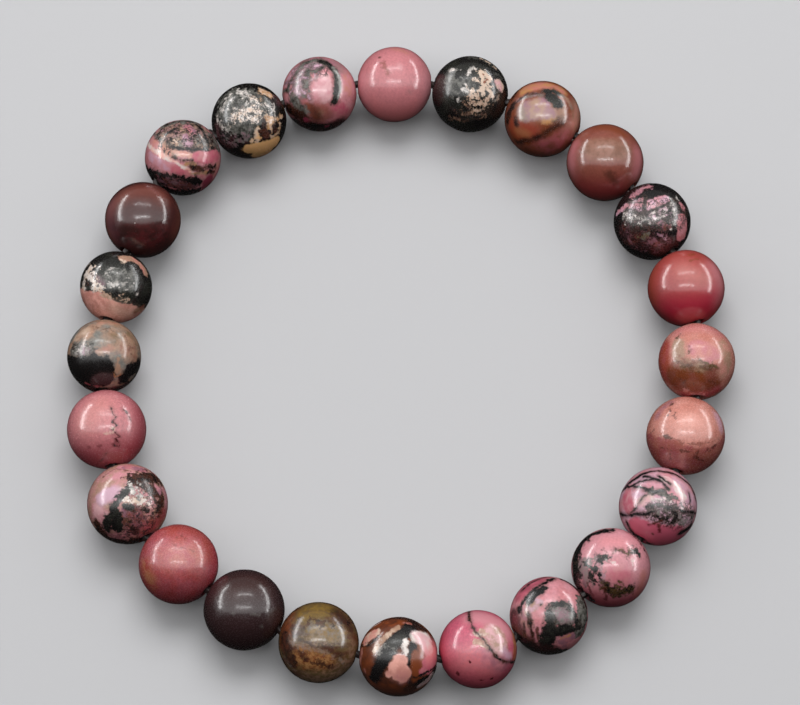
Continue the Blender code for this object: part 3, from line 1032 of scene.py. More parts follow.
        layer("grey gold", (0.24, (-0.1, 0.34), (0.45, 0.24)), soft=0.14, ragged=0.2, strength=0.6),
        layer(
            "brown black",
            (0.08, (-0.84, 0.14), (-0.74, -0.1), (-0.6, -0.34)),
            soft=0.06, ragged=0.2, strength=0.8,
        ),
        layer("grey umber", (0.1, (-0.42, 0.3)), soft=0.1, ragged=0.1, strength=0.6),
        layer(
            "tan grey",
            (0.05, (-0.74, 0.1), (-0.6, -0.04), (-0.4, -0.12)),
            (0.03, (-0.4, -0.12), (0.0, -0.15), (0.3, -0.27), (0.6, -0.46)),
            (0.05, (-0.82, -0.36), (-0.62, -0.66)),
            ragged=0.16, soft=0.06, strength=0.65,
        ),
        layer(
            "black brown",
            (0.2, (-0.84, 0.12), (-0.82, -0.2), (-0.68, -0.42)),
            (0.06, (-0.5, 0.52), (-0.62, 0.24), (-0.5, 0.06)),
            (0.04, (-0.5, 0.06), (-0.2, -0.03), (0.2, -0.14), (0.55, -0.34)),
            (0.05, (-0.5, -0.24), (-0.34, -0.4)),
            (0.05, (0.5, 0.66), (0.8, 0.36)),
            ragged=0.14, soft=0.08, strength=0.85,
        ),
        layer(
            "black brown",
            (0.03, (-0.3, 0.5), (0.3, 0.42), (0.7, 0.5)),
            (0.03, (-0.2, -0.5), (0.3, -0.6)),
            ragged=0.3, strength=0.8,
        ),
        grain=2.2,
        streaks=1.0,
        pits=0.8,
    ),
    "bead_15": stone(
        "umber",
        "umber",
        layer("brown", (0.3, (-0.3, 0.5), (0.4, 0.6)), soft=0.4, strength=0.25),
        layer(
            "grey",
            (0.045, (0.44, -0.42)),
            (0.016, (0.4, -0.12), (0.2, -0.1)),
            (0.02, (-0.25, -0.09)),
            soft=0.04, ragged=0.06, strength=0.35,
        ),
        pits=2.0,
        depth=0.15,
    ),
    "bead_16": stone(
        "coral",
        "coral rose_deep",
        # Painted reflection: a milky salmon sheen across the middle, where the lamps' haze shows.
        layer("salmon rose", (0.34, (-0.15, 0.2), (0.3, 0.25)), soft=0.35, strength=0.6),
        layer("brick", (0.25, (-0.1, 0.86), (0.5, 0.75), (0.8, 0.4)), soft=0.25, strength=0.5),
        layer("brick orange", (0.22, (-0.85, -0.1), (-0.7, -0.45)), soft=0.2, ragged=0.06, strength=0.6),
        layer("crimson", (0.16, (0.92, 0.3), (0.86, -0.3)), soft=0.2, strength=0.5),
        layer(
            "brown",
            (0.02, (0.02, 0.72), (0.12, 0.7)),
            (0.0, (-0.3, 0.5), (0.4, 0.3)),
            ragged=0.2, soft=0.04, strength=0.35,
        ),
        grain=1.8,
        pits=3.0,
        depth=0.6,
    ),
    "bead_17": stone(
        "veined",
        "pink tan",
        layer("pink pink_pale", (0.2, (-0.78, -0.15), (-0.6, -0.3)), soft=0.08),
        layer("lilac", (0.2, (-0.62, 0.14), (-0.36, 0.28)), soft=0.08),
        layer("tan pink", (0.16, (-0.4, 0.62), (0.0, 0.7)), soft=0.12),
        layer("rose mauve", (0.14, (0.0, 0.92), (0.36, 0.84))),
        layer("brown", (0.02, (-0.6, 0.66), (-0.3, 0.86), (0.06, 0.8)), ragged=0.08, strength=0.8),
        layer("mauve clay", (0.3, (0.1, -0.3), (0.3, -0.55)), ragged=0.12),
        layer("rose_deep clay", (0.22, (0.5, -0.6), (0.85, -0.25)), soft=0.1),
        layer("tan pink", (0.2, (0.45, 0.0), (0.6, -0.2)), ragged=0.18),
        layer("olive clay", (0.05, (-0.08, -0.25), (0.0, -0.5)), ragged=0.2, strength=0.8),
        layer(
            "black brown",
            (0.22, (0.2, 0.6), (0.4, 0.64), (0.68, 0.62)),
            (0.2, (0.5, 0.4), (0.74, 0.3)),
            (0.14, (0.85, 0.05), (0.8, -0.1)),
            (0.05, (0.4, -0.1), (0.6, -0.3)),
            (0.05, (0.04, -0.56), (0.24, -0.7)),
            (0.04, (0.2, -0.14)),
            (0.03, (0.3, -0.4)),
            ragged=0.24, halo=0.4,
        ),
        layer(
            "black",
            (0.4, (0.5, 0.1), (0.35, -0.5), (0.1, -0.6)),
            net=4.5, strength=0.9, ragged=0.08, halo=0.4,
        ),
        layer(
            "black brown",
            (0.4, (-0.6, -0.8), (0.2, -0.97)),
            (0.16, (-0.74, -0.5), (-0.6, -0.7)),
            ragged=0.16,
        ),
        layer(
            "mauve clay",
            (0.06, (-0.45, -0.76), (-0.2, -0.78)),
            (0.06, (0.3, -0.8)),
            ragged=0.16, strength=0.7,
        ),
        layer(
            "black green_black",
            (0.12, (0.04, 0.38), (-0.14, 0.16), (-0.32, -0.08), (-0.44, -0.34), (-0.5, -0.6)),
            (0.16, (-0.26, -0.26), (-0.3, -0.55)),
            (0.09, (-0.08, -0.04), (0.1, -0.1)),
            ragged=0.12, halo=0.3,
        ),
        layer("white grey", (0.11, (0.14, 0.38), (0.26, 0.2)), ragged=0.24),
        layer(
            "white cream",
            (0.035, (-0.1, 0.1), (0.1, 0.1), (0.42, 0.06)),
            (0.03, (0.56, 0.04)),
            ragged=0.2,
        ),
        layer(
            "pink mauve",
            (0.08, (0.8, 0.32), (0.72, 0.42)),
            (0.05, (0.92, 0.3), (0.95, 0.0)),
            ragged=0.08,
        ),
        pits=1.5,
        depth=0.4,
    ),
    "bead_18": stone(
        "rose",
        "rose",
        layer("salmon", (0.35, (-0.5, 0.2), (-0.2, 0.6)), soft=0.4, strength=0.4),
        # Painted shade: deep rose and crimson darken the foot and lower right; the deep rose also runs down
        # the right side.
        layer("rose_deep", (0.4, (-0.5, -0.75), (0.4, -0.65)), (0.3, (0.85, 0.3), (0.8, -0.4)), soft=0.3),
        layer("crimson", (0.2, (0.5, -0.6), (0.7, -0.4)), soft=0.3, strength=0.35),
        layer("rose_deep", (0.3, (-0.2, 0.98), (0.6, 0.8), (0.9, 0.4)), soft=0.3, strength=0.7),
        layer(
            "red_dark",
            (0.06, (0.22, -0.34)),
            (0.03, (-0.2, -0.42)),
            (0.03, (-0.46, -0.42)),
            soft=0.05, ragged=0.12, strength=0.5,
        ),
        layer(
            "black red_dark",
            (0.012, (0.1, 0.56), (0.14, 0.42), (0.22, 0.32), (0.15, 0.18)),
            (0.012, (0.15, 0.18), (0.25, 0.1), (0.14, 0.0), (0.22, -0.1)),
            (0.012, (0.22, -0.1), (0.34, -0.17), (0.22, -0.24), (0.34, -0.36), (0.3, -0.44), (0.2, -0.4)),
            (0.008, (-0.22, -0.86), (-0.04, -0.64), (0.0, -0.58)),
            (0.008, (0.4, 0.5), (0.5, 0.4), (0.6, 0.2)),
            soft=0.02, halo=0.25,
        ),
        layer(
            "cream",
            (0.03, (-0.02, -0.1), (0.14, -0.06)),
            (0.02, (0.1, 0.08), (0.2, 0.02)),
            ragged=0.1, strength=0.5,
        ),
        grain=1.4,
        pits=1.5,
        depth=0.55,
    ),
    "bead_19": stone(
        "tan_and_black",
        "tan grey",
        layer(
            "olive tan",
            (0.2, (0.0, 0.95), (0.5, 0.8), (0.88, 0.4)),
            soft=0.12, ragged=0.1, strength=0.7,
        ),
        layer(
            "peach tan",
            (0.08, (-0.2, 0.1), (0.2, 0.2)),
            (0.06, (-0.1, 0.9), (0.3, 0.88)),
            soft=0.12, strength=0.6,
        ),
        layer("cream tan", (0.14, (-0.75, 0.5), (-0.5, 0.68)), soft=0.08, strength=0.8),
        layer("tan olive", (0.16, (0.05, 0.5), (0.4, 0.52)), soft=0.1, ragged=0.1, strength=0.6),
        layer(
            "clay tan",
            (0.14, (0.45, 0.2), (0.8, 0.15), (0.8, -0.1)),
            ragged=0.12, soft=0.08, strength=0.6,
        ),
        layer("brown", (0.0, (-0.3, 0.75), (0.2, 0.7), (0.6, 0.5), (0.75, 0.1)), ragged=0.24, strength=0.5),
        layer("grey black", (0.2, (-0.82, 0.18), (-0.55, 0.12), (-0.42, 0.2)), ragged=0.16, strength=0.9),
        layer("lilac grey", (0.1, (-0.6, 0.2), (-0.5, 0.1)), soft=0.1, strength=0.6),
        layer("white grey", (0.05, (-0.76, 0.14), (-0.5, 0.18), (-0.5, 0.02)), ragged=0.26, strength=0.8),
        layer(
            "black",
            (0.2, (-0.95, -0.16), (-0.6, -0.2), (-0.3, -0.14), (0.0, -0.18)),
            (0.2, (-0.1, -0.24), (0.06, -0.3)),
            (0.38, (-0.75, -0.5), (-0.06, -0.52)),
            (0.2, (0.9, -0.26), (0.68, -0.4), (0.54, -0.6)),
            (0.35, (-0.4, -0.9), (0.5, -0.86)),
            ragged=0.09, halo=0.4,
        ),
        layer(
            "maroon red_dark",
            (0.1, (-0.6, -0.8), (0.0, -0.86), (0.6, -0.76)),
            ragged=0.14, soft=0.06, strength=0.6,
        ),
        layer("rose_deep", (0.025, (-0.5, -0.74), (-0.1, -0.8)), ragged=0.14, strength=0.7),
        layer("black", (0.24, (0.94, -0.34), (0.8, -0.6)), soft=0.04),
        layer("tan", (0.06, (0.38, -0.1), (0.34, -0.4)), ragged=0.07),
        layer("clay orange", (0.03, (0.24, -0.48), (0.4, -0.5)), ragged=0.2, strength=0.8),
        uneven=2.0,
        grain=2.0,
        pits=1.2,
    ),
    "bead_20": stone(
        "black_and_cream",
        "black green_black",
        layer("grey green_black", (0.3, (-0.1, 0.25), (0.25, 0.22)), ragged=0.28, strength=0.8),
        layer(
            "grey white",
            (0.04, (-0.15, 0.06), (0.28, 0.08)),
            (0.02, (-0.2, 0.4), (-0.1, 0.42)),
            ragged=0.26, strength=0.8,
        ),
        layer("mauve grey", (0.12, (-0.48, 0.2), (-0.42, 0.06)), soft=0.08, strength=0.6),
        layer(
            "cream white",
            (0.12, (-0.8, 0.36), (-0.66, 0.3), (-0.62, 0.06)),
            (0.07, (-0.92, 0.1), (-0.88, -0.04)),
            (0.06, (-0.6, -0.04), (-0.42, -0.04)),
            (0.03, (-0.85, 0.56), (-0.55, 0.5)),
            ragged=0.26,
        ),
        layer(
            "brown black",
            (0.08, (-0.8, 0.12), (-0.72, 0.1)),
            (0.03, (-0.7, 0.36), (-0.6, 0.3)),
            ragged=0.14,
        ),
        layer(
            "shell salmon",
            (0.46, (-0.9, -0.46), (-0.3, -0.68), (0.2, -0.82), (0.5, -0.92)),
            (0.3, (-0.9, -0.34), (-0.45, -0.42)),
            ragged=0.06,
        ),
        layer("cream", (0.2, (0.0, -0.6), (0.4, -0.75)), soft=0.25, strength=0.4),
        layer("clay tan", (0.12, (0.58, -0.66), (0.7, -0.6)), soft=0.06, ragged=0.1),
        layer("cream tan", (0.03, (-0.4, -0.2), (-0.05, -0.32), (0.12, -0.26), (0.3, -0.36)), ragged=0.24),
        layer("salmon tan", (0.13, (0.2, 0.8), (0.44, 0.78), (0.66, 0.64), (0.82, 0.42)), ragged=0.08),
        layer("cream", (0.05, (0.12, 0.76), (0.22, 0.7)), ragged=0.08),
        layer("white", (0.02, (0.6, -0.17)), (0.015, (0.36, 0.25)), (0.015, (0.5, 0.1))),
        pits=2.0,
    ),
    "bead_21": stone(
        "maroon",
        "maroon",
        layer("clay", (0.25, (0.0, 0.78), (0.45, 0.66)), soft=0.35, strength=0.6),
        layer("peach", (0.2, (-0.5, 0.65), (-0.85, 0.3)), soft=0.35, strength=0.3),
        layer("mauve", (0.25, (-0.9, 0.3), (-0.84, -0.3)), soft=0.3, strength=0.25),
        layer(
            "clay",
            (0.3, (-0.99, 0.2), (-0.9, -0.4)),
            (0.3, (0.99, 0.3), (0.92, -0.3)),
            soft=0.25, strength=0.5,
        ),
        # Painted shade: the lower half is darkened towards black and dark red.
        layer("black red_dark", (0.34, (-0.4, -0.4), (0.4, -0.45)), soft=0.35, strength=0.5),
        layer("white", (0.014, (-0.22, -0.07)), soft=0.01),
    ),
    "bead_22": stone(
        "veined",
        "pink rose",
        layer("grey tan", (0.5, (-0.35, 0.62), (0.35, 0.62)), (0.3, (0.66, 0.48)), soft=0.04, ragged=0.06),
        layer("mauve tan", (0.3, (-0.5, 0.62), (0.5, 0.7)), soft=0.1, ragged=0.1, strength=0.7),
        layer("salmon tan", (0.16, (-0.56, 0.24), (-0.3, 0.12)), soft=0.06),
        layer("cream tan", (0.09, (-0.24, 0.46), (-0.18, 0.36)), ragged=0.12),
        layer("lilac mauve", (0.14, (0.12, 0.5), (0.14, 0.36)), ragged=0.08),
        layer("rose mauve", (0.12, (0.14, 0.8), (0.24, 0.7)), ragged=0.06),
        layer(
            "black grey",
            (0.2, (0.78, 0.5), (0.9, 0.3)),
            (0.16, (-0.5, 0.84), (-0.1, 0.95), (0.3, 0.93)),
            (0.08, (0.36, 0.56), (0.56, 0.36)),
            (0.08, (-0.8, 0.6), (-0.6, 0.5)),
            ragged=0.2,
        ),
        layer("black", (0.55, (-0.3, 0.62), (0.45, 0.6)), net=4.0, strength=0.95, ragged=0.08, halo=0.8),
        layer(
            "black",
            (0.035, (-0.42, 0.42), (-0.2, 0.26), (0.1, 0.22), (0.5, 0.18), (0.84, 0.26)),
            (0.035, (-0.42, 0.6), (-0.1, 0.82)),
            (0.04, (0.4, 0.84), (0.6, 0.54), (0.7, 0.22)),
            ragged=0.1, halo=0.5,
        ),
        layer("salmon pink", (0.14, (-0.84, 0.44), (-0.72, 0.32)), soft=0.05),
        layer("cream salmon", (0.08, (-0.22, 0.12), (0.02, 0.1), (0.2, 0.04))),
        layer("hot_pink rose", (0.15, (0.38, 0.02), (0.62, -0.02), (0.88, 0.06)), ragged=0.03),
        layer("lilac pink", (0.13, (-0.86, 0.04), (-0.6, -0.14), (-0.3, -0.24)), soft=0.04),
        layer("rose hot_pink", (0.12, (-0.2, -0.3), (0.1, -0.42)), soft=0.06),
        layer("rose salmon", (0.12, (0.9, -0.22), (0.8, -0.42)), soft=0.06),
        layer(
            "shell white",
            (0.06, (-0.92, 0.36), (-0.75, 0.2), (-0.55, 0.07), (-0.3, -0.06)),
            (0.045, (-0.3, -0.06), (-0.05, -0.2), (0.15, -0.32), (0.3, -0.44)),
        ),
        layer(
            "tan orange",
            (0.05, (0.24, -0.42), (0.6, -0.4)),
            (0.08, (0.1, -0.16), (0.3, -0.18)),
            ragged=0.06,
        ),
        layer(
            "brown black",
            (0.018, (-0.26, 0.02), (-0.05, -0.05), (0.22, -0.05)),
            (0.08, (0.26, -0.25), (0.5, -0.3)),
            (0.05, (0.6, -0.22), (0.84, -0.24)),
            (0.05, (0.7, -0.34), (0.8, -0.38)),
            ragged=0.1, halo=0.5,
        ),
        layer(
            "black",
            (0.22, (-0.95, -0.36), (-0.6, -0.55), (-0.2, -0.64), (0.3, -0.66)),
            (0.45, (-0.7, -0.75), (0.15, -0.98)),
            ragged=0.12, halo=0.4,
        ),
        layer("mauve clay", (0.1, (-0.6, -0.6), (-0.1, -0.68), (0.3, -0.76)), ragged=0.26, strength=0.45),
        layer("magenta", (0.18, (0.66, -0.6), (0.54, -0.84)), soft=0.05, ragged=0.04),
        grain=1.4,
        depth=0.2,
    ),
    "bead_23": stone(
        "black_and_cream",
        "black",
        layer("grey green_black", (0.5, (-0.5, 0.5), (0.1, 0.45), (-0.2, 0.05)), ragged=0.3, strength=0.85),
        layer("grey mauve", (0.06, (-0.7, -0.3), (-0.5, -0.6), (-0.1, -0.4)), ragged=0.34, strength=0.6),
        layer(
            "white grey",
            (0.06, (-0.7, 0.3), (-0.5, 0.6), (-0.2, 0.8)),
            (0.06, (-0.1, 0.75), (0.1, 0.5)),
            (0.04, (0.4, 0.4), (0.6, 0.3)),
            (0.03, (-0.8, 0.0), (-0.6, -0.2)),
            ragged=0.36,
        ),
        layer(
            "white cream",
            (0.1, (-0.4, 0.16), (0.0, 0.3), (0.3, 0.24)),
            (0.05, (0.1, 0.6), (0.3, 0.46)),
            ragged=0.3,
        ),
        layer("white cream", (0.05, (-0.2, 0.06), (0.2, 0.06)), (0.04, (-0.44, 0.0)), ragged=0.22),
        layer("olive brown", (0.16, (0.72, 0.7), (0.9, 0.42)), soft=0.12, ragged=0.1, strength=0.7),
        layer(
            "cream orange",
            (0.13, (0.32, 0.78), (0.52, 0.7)),
            (0.05, (0.32, 0.56)),
            (0.1, (0.48, 0.08), (0.58, 0.02), (0.54, -0.16)),
            (0.04, (0.7, 0.06), (0.88, 0.14)),
            (0.04, (0.82, -0.06), (0.78, -0.3), (0.58, -0.42)),
            ragged=0.12,
        ),
        layer(
            "cream honey",
            (0.06, (0.24, -0.22), (0.2, -0.4), (0.22, -0.56)),
            (0.04, (0.05, -0.52)),
            ragged=0.08,
        ),
        layer(
            "black brown",
            (0.06, (0.4, 0.02), (0.36, -0.12)),
            (0.12, (0.38, -0.3), (0.46, -0.36)),
            (0.06, (0.66, -0.14), (0.7, -0.22)),
            (0.06, (0.72, -0.46)),
            ragged=0.1,
        ),
        layer("black", (0.4, (-0.5, 0.3), (0.2, 0.4)), net=5.0, ragged=0.1, strength=0.85),
        layer(
            "honey",
            (0.2, (0.04, -0.74), (0.35, -0.68), (0.68, -0.58)),
            (0.3, (0.36, -0.86)),
            ragged=0.03,
        ),
        layer("gold", (0.1, (-0.05, -0.8), (0.4, -0.86)), soft=0.15, strength=0.3),
        pits=1.5,
    ),
    "bead_24": stone(
        "veined",
        "pink rose",
        layer("salmon pink", (0.16, (0.7, 0.6), (0.78, 0.1)), soft=0.08),
        layer("hot_pink rose", (0.2, (0.5, -0.38), (0.66, -0.54)), soft=0.08),
        layer("lilac pink", (0.16, (-0.84, 0.3), (-0.66, 0.62)), soft=0.05),
        layer(
            "grey lilac",
            (0.2, (-0.5, 0.66), (-0.44, 0.3), (-0.54, 0.1)),
            (0.16, (-0.3, 0.74), (0.0, 0.74)),
            soft=0.05,
        ),
        layer(
            "lilac pink_pale",
            (0.09, (-0.46, 0.58), (-0.5, 0.4)),
            (0.1, (-0.56, 0.12), (-0.42, 0.1)),
            soft=0.05, ragged=0.06, strength=0.85,
        ),
        layer("pink_pale pink", (0.26, (0.08, 0.34), (0.1, 0.0)), (0.1, (-0.22, -0.16)), soft=0.04),
        layer("rust clay", (0.22, (0.06, -0.4), (0.16, -0.56), (0.0, -0.7)), soft=0.14, strength=0.7),
        layer("olive tan", (0.12, (0.0, -0.5)), soft=0.1, strength=0.5),
        layer("brown rust", (0.17, (-0.25, -0.34), (-0.1, -0.6)), soft=0.12, strength=0.9),
        layer(
            "green_black grey",
            (0.16, (-0.72, -0.1), (-0.6, -0.3), (-0.44, -0.44)),
            soft=0.06, ragged=0.1, halo=0.3,
        ),
        layer("black brown", (0.2, (-0.8, -0.4), (-0.5, -0.6), (-0.3, -0.8)), soft=0.08, ragged=0.08),
        layer("black maroon", (0.32, (-0.5, -0.84), (-0.1, -0.92), (0.45, -0.84)), soft=0.1, ragged=0.08),
        layer("magenta", (0.08, (-0.36, -0.7)), (0.05, (0.2, -0.86)), soft=0.05, ragged=0.06),
        layer(
            "mauve grey",
            (0.26, (-0.45, 0.74), (0.1, 0.86), (0.5, 0.74)),
            soft=0.15, ragged=0.1, strength=0.6,
        ),
        layer("black grey", (0.34, (-0.3, 0.8), (0.0, 0.74)), net=4.5, strength=0.8, halo=0.4),
        layer(
            "black lilac",
            (0.4, (-0.6, 0.3), (-0.2, 0.84)),
            net=3.0, ragged=0.02, strength=0.8, halo=0.4,
        ),
        layer(
            "green_black grey",
            (0.05, (-0.86, 0.1), (-0.74, 0.36), (-0.58, 0.6), (-0.36, 0.82)),
            (0.07, (-0.4, 0.8), (-0.15, 0.9), (0.05, 0.88)),
            (0.05, (-0.28, 0.62), (-0.1, 0.6), (0.06, 0.7)),
            (0.05, (-0.3, 0.6), (-0.3, 0.35), (-0.36, 0.2)),
            (0.03, (-0.28, 0.06), (-0.4, -0.06), (-0.5, -0.16)),
            (0.035, (-0.96, 0.06), (-0.78, 0.08), (-0.66, -0.04), (-0.56, -0.2)),
            ragged=0.08, soft=0.04, halo=0.5,
        ),
        layer(
            "black green_black",
            (0.1, (0.06, 0.86), (0.28, 0.76), (0.42, 0.6), (0.48, 0.35), (0.48, 0.1), (0.42, -0.2)),
            ragged=0.06, halo=0.45,
        ),
        layer(
            "grey",
            (0.045, (0.38, 0.7), (0.52, 0.42), (0.56, 0.15), (0.51, -0.1)),
            ragged=0.06, soft=0.04,
        ),
        layer(
            "black lilac",
            (0.018, (-0.92, 0.28), (-0.7, 0.3), (-0.5, 0.46), (-0.3, 0.4)),
            (0.018, (-0.7, 0.64), (-0.64, 0.4), (-0.66, 0.16), (-0.8, 0.02)),
            (0.022, (-0.5, 0.12), (-0.34, 0.02), (-0.22, -0.14)),
            (0.014, (0.0, 0.62), (-0.1, 0.4)),
            ragged=0.06, halo=0.6,
        ),
        layer("lilac", (0.03, (-0.1, 0.76), (0.02, 0.77)), ragged=0.08),
        depth=0.2,
    ),
}


# ---------------------------------------------------------------- painting a stone

# Noises on the stones, with scales in turns to the bead radius.
CLOUDS = (2.4, 4.0, 0.55)
PATCHES = (4.2, 5.0, 0.55)
EDGE_GRAIN = (8.5, 5.0, 0.66)
FINE_GRAIN = (15.0, 4.0, 0.62)
FIBRES = (1.0, 5.0, 0.65)
PITS = (30.0, 2.0, 0.5)
STROKE_BENDS = (2.6, 2.0, 0.55)
STROKE_TREMBLES = (8.0, 3.0, 0.55)
WEB_BENDS = (3.0, 3.0, 0.55)
BEAD_SEED_STEP = 3.7  # sets the beads' patterns far enough apart that no two match

# Reaches, heights and widths are in bead radii, and edges are the noise values where a tone gives way.
BEND_REACH = 0.08
TREMBLE_REACH = 0.1
STIR_REACH = 2.4  # on the side that faces away
BACK_HEIGHTS = (0.1, -0.7)  # towards the viewer, between which the stirring sets in
WEB_REACH = 1.1
WEB_HALF_WIDTH = 0.035
CLOUD_EDGES = (0.36, 0.64)
RAGGED_MIX = 0.1  # layers more ragged than this mix their tones by the grain of their edges
HALO_WIDTH = 0.1
HALO_STAIN = (0.09, 0.05, 0.04, 1.0)
GRAIN_CONTRAST = 0.7
FLECK_EDGES = (0.36, 0.26)
FLECK_STRENGTH = 0.4
FLECK_STAIN = (0.08, 0.02, 0.02, 1.0)
PAINTED_SHADE_HEIGHTS = (0.1, -0.95)  # up the bead as seen, between which painted shade darkens the stone
PAINTED_SHADE_TINT = (0.5, 0.22, 0.26)  # share of each channel that the painted shade leaves at the foot
FIBRE_TURN = math.radians(35)
FIBRE_SCALE = (1.6, 9.0, 1.6)
DULL_EDGES = (0.46, 0.6)
DULL_ROUGHNESS = 0.09
VEIN_ROUGHNESS = 0.05
GRAIN_ROUGHNESS = (-0.03, 0.05)
RELIEF = 0.02 * MM
RELIEF_STRENGTH = 0.2
STONE_IOR = 1.62
HAZE_ROUGHNESS = 0.38
FAR = 9.0  # further than any place on the ball
SHORTEST = 1e-6  # so that a stroke of one point divides by something


def stroke_group():
    """Distance from a point of the ball to an arc on it between two points, less the arc's half width."""
    takes = sockets("Vector", "Point", "From", "To") + sockets("Float", "Half Width", "Nearest")
    tree, given, result = new_group("ShaderNodeTree", "stroke", takes, sockets("Float", "Nearest"))
    run = vector_maths(tree, "SUBTRACT", given["To"], given["From"])
    reach = vector_maths(tree, "SUBTRACT", given["Point"], given["From"])
    span = maths(tree, "MAXIMUM", vector_maths(tree, "DOT_PRODUCT", run, run, out="Value"), SHORTEST)
    share = maths(tree, "DIVIDE", vector_maths(tree, "DOT_PRODUCT", reach, run, out="Value"), span)
    share.node.use_clamp = True
    foot = vector_maths(tree, "NORMALIZE", vector_maths(tree, "ADD", given["From"], scaled(tree, run, share)))
    gap = vector_maths(tree, "DISTANCE", given["Point"], foot, out="Value")
    edge = maths(tree, "SUBTRACT", gap, given["Half Width"])
    tree.links.new(maths(tree, "MINIMUM", given["Nearest"], edge), result[0])


def drift_group():
    """Folds the hidden half of the ball over the strokes of the seen half, and bends their straight lines.

    The fold is stirred the more the further behind it lies, so that the back doesn't mirror the front.
    """
    takes = sockets("Vector", "Vector") + sockets("Float", "Bend", "Tremble", "Stir", "Seed")
    tree, given, result = new_group("ShaderNodeTree", "drift", takes, sockets("Vector", "Vector"))
    height = add(tree, "ShaderNodeSeparateXYZ", {0: given["Vector"]}).outputs["Z"]
    behind = ramp(tree, height, *BACK_HEIGHTS)
    amount = maths(tree, "MULTIPLY_ADD", behind, given["Stir"], given["Bend"])
    shift = wander(tree, given["Vector"], STROKE_BENDS, given["Seed"], amount)
    jitter = wander(tree, given["Vector"], STROKE_TREMBLES, given["Seed"], given["Tremble"])
    moved = vector_maths(tree, "ADD", vector_maths(tree, "ADD", given["Vector"], shift), jitter)
    parts = add(tree, "ShaderNodeSeparateXYZ", {0: moved}).outputs
    folded = {"X": parts["X"], "Y": parts["Y"], "Z": maths(tree, "ABSOLUTE", parts["Z"])}
    folded = add(tree, "ShaderNodeCombineXYZ", folded).outputs[0]
    tree.links.new(vector_maths(tree, "NORMALIZE", folded), result[0])


def web_group():
    """Distance to a web of crack lines, for veins that run everywhere."""
    takes = sockets("Vector", "Vector") + sockets("Float", "Scale", "Seed")
    tree, given, result = new_group("ShaderNodeTree", "crack web", takes, sockets("Float", "Distance"))
    shift = wander(tree, given["Vector"], WEB_BENDS, given["Seed"], WEB_REACH)
    bent = vector_maths(tree, "ADD", given["Vector"], shift)
    inputs = {"Vector": bent, "W": given["Seed"], "Scale": given["Scale"]}
    cells = add(tree, "ShaderNodeTexVoronoi", inputs, voronoi_dimensions="4D", feature="DISTANCE_TO_EDGE")
    tree.links.new(maths(tree, "SUBTRACT", cells.outputs["Distance"], WEB_HALF_WIDTH), result[0])


def layer_group():
    """Lays a layer of two mixed tones over the colour below it, inside a ragged outline."""
    takes = sockets("Color", "Color", "Light", "Dark") + sockets("Float", "Distance", "Grain", "Cloud")
    takes += sockets("Float", "Raggedness", "Softness", "Strength", "Halo")
    gives = sockets("Color", "Color") + sockets("Float", "Mask")
    tree, given, result = new_group("ShaderNodeTree", "stone layer", takes, gives)
    moved = swing(tree, given["Grain"], NOISE_GAIN)
    edge = maths(tree, "MULTIPLY_ADD", moved, given["Raggedness"], given["Distance"])
    inside = ramp(tree, edge, given["Softness"], maths(tree, "MULTIPLY", given["Softness"], -1.0))
    mask = maths(tree, "MULTIPLY", inside, given["Strength"])
    tone = blend_colour(tree, ramp(tree, given["Cloud"], *CLOUD_EDGES), given["Light"], given["Dark"])
    stain = maths(tree, "MULTIPLY", ramp(tree, edge, HALO_WIDTH, 0.0), given["Halo"])
    below = blend_colour(tree, stain, given["Color"], HALO_STAIN)
    tree.links.new(blend_colour(tree, mask, below, tone), result["Color"])
    tree.links.new(mask, result["Mask"])


def body_group():
    """The stone's own clouds or fibres: two tones mixed in soft patches, with fine grain and dark flecks."""
    takes = sockets("Color", "Light", "Dark") + sockets("Float", "Cloud", "Fibre", "Streaks")
    takes += sockets("Float", "Grain", "Fleck", "Grain Strength")
    tree, given, result = new_group("ShaderNodeTree", "stone body", takes, sockets("Color", "Color"))
    run = maths(tree, "MULTIPLY", maths(tree, "SUBTRACT", given["Fibre"], given["Cloud"]), given["Streaks"])
    pattern = maths(tree, "ADD", given["Cloud"], run)
    tone = blend_colour(tree, ramp(tree, pattern, *CLOUD_EDGES), given["Light"], given["Dark"])
    mottle = swing(tree, given["Grain"], given["Grain Strength"])
    grained = scaled(tree, tone, maths(tree, "MULTIPLY_ADD", mottle, GRAIN_CONTRAST, 1.0))
    fleck = ramp(tree, given["Fleck"], *FLECK_EDGES, 0.0, FLECK_STRENGTH)
    dark = maths(tree, "MULTIPLY", fleck, given["Grain Strength"])
    tree.links.new(blend_colour(tree, dark, grained, FLECK_STAIN), result[0])


def painted_shade_group():
    """Painted shade: darkens and reddens the stone towards its foot as seen, where it gets least light."""
    takes = sockets("Color", "Color") + sockets("Vector", "Point") + sockets("Float", "Depth")
    tree, given, result = new_group("ShaderNodeTree", "depth", takes, sockets("Color", "Color"))
    height = add(tree, "ShaderNodeSeparateXYZ", {0: given["Point"]}).outputs["Y"]
    share = maths(tree, "MULTIPLY", ramp(tree, height, *PAINTED_SHADE_HEIGHTS), given["Depth"])
    deeper = vector_maths(tree, "MULTIPLY", given["Color"], PAINTED_SHADE_TINT)
    tree.links.new(blend_colour(tree, share, given["Color"], deeper), result[0])


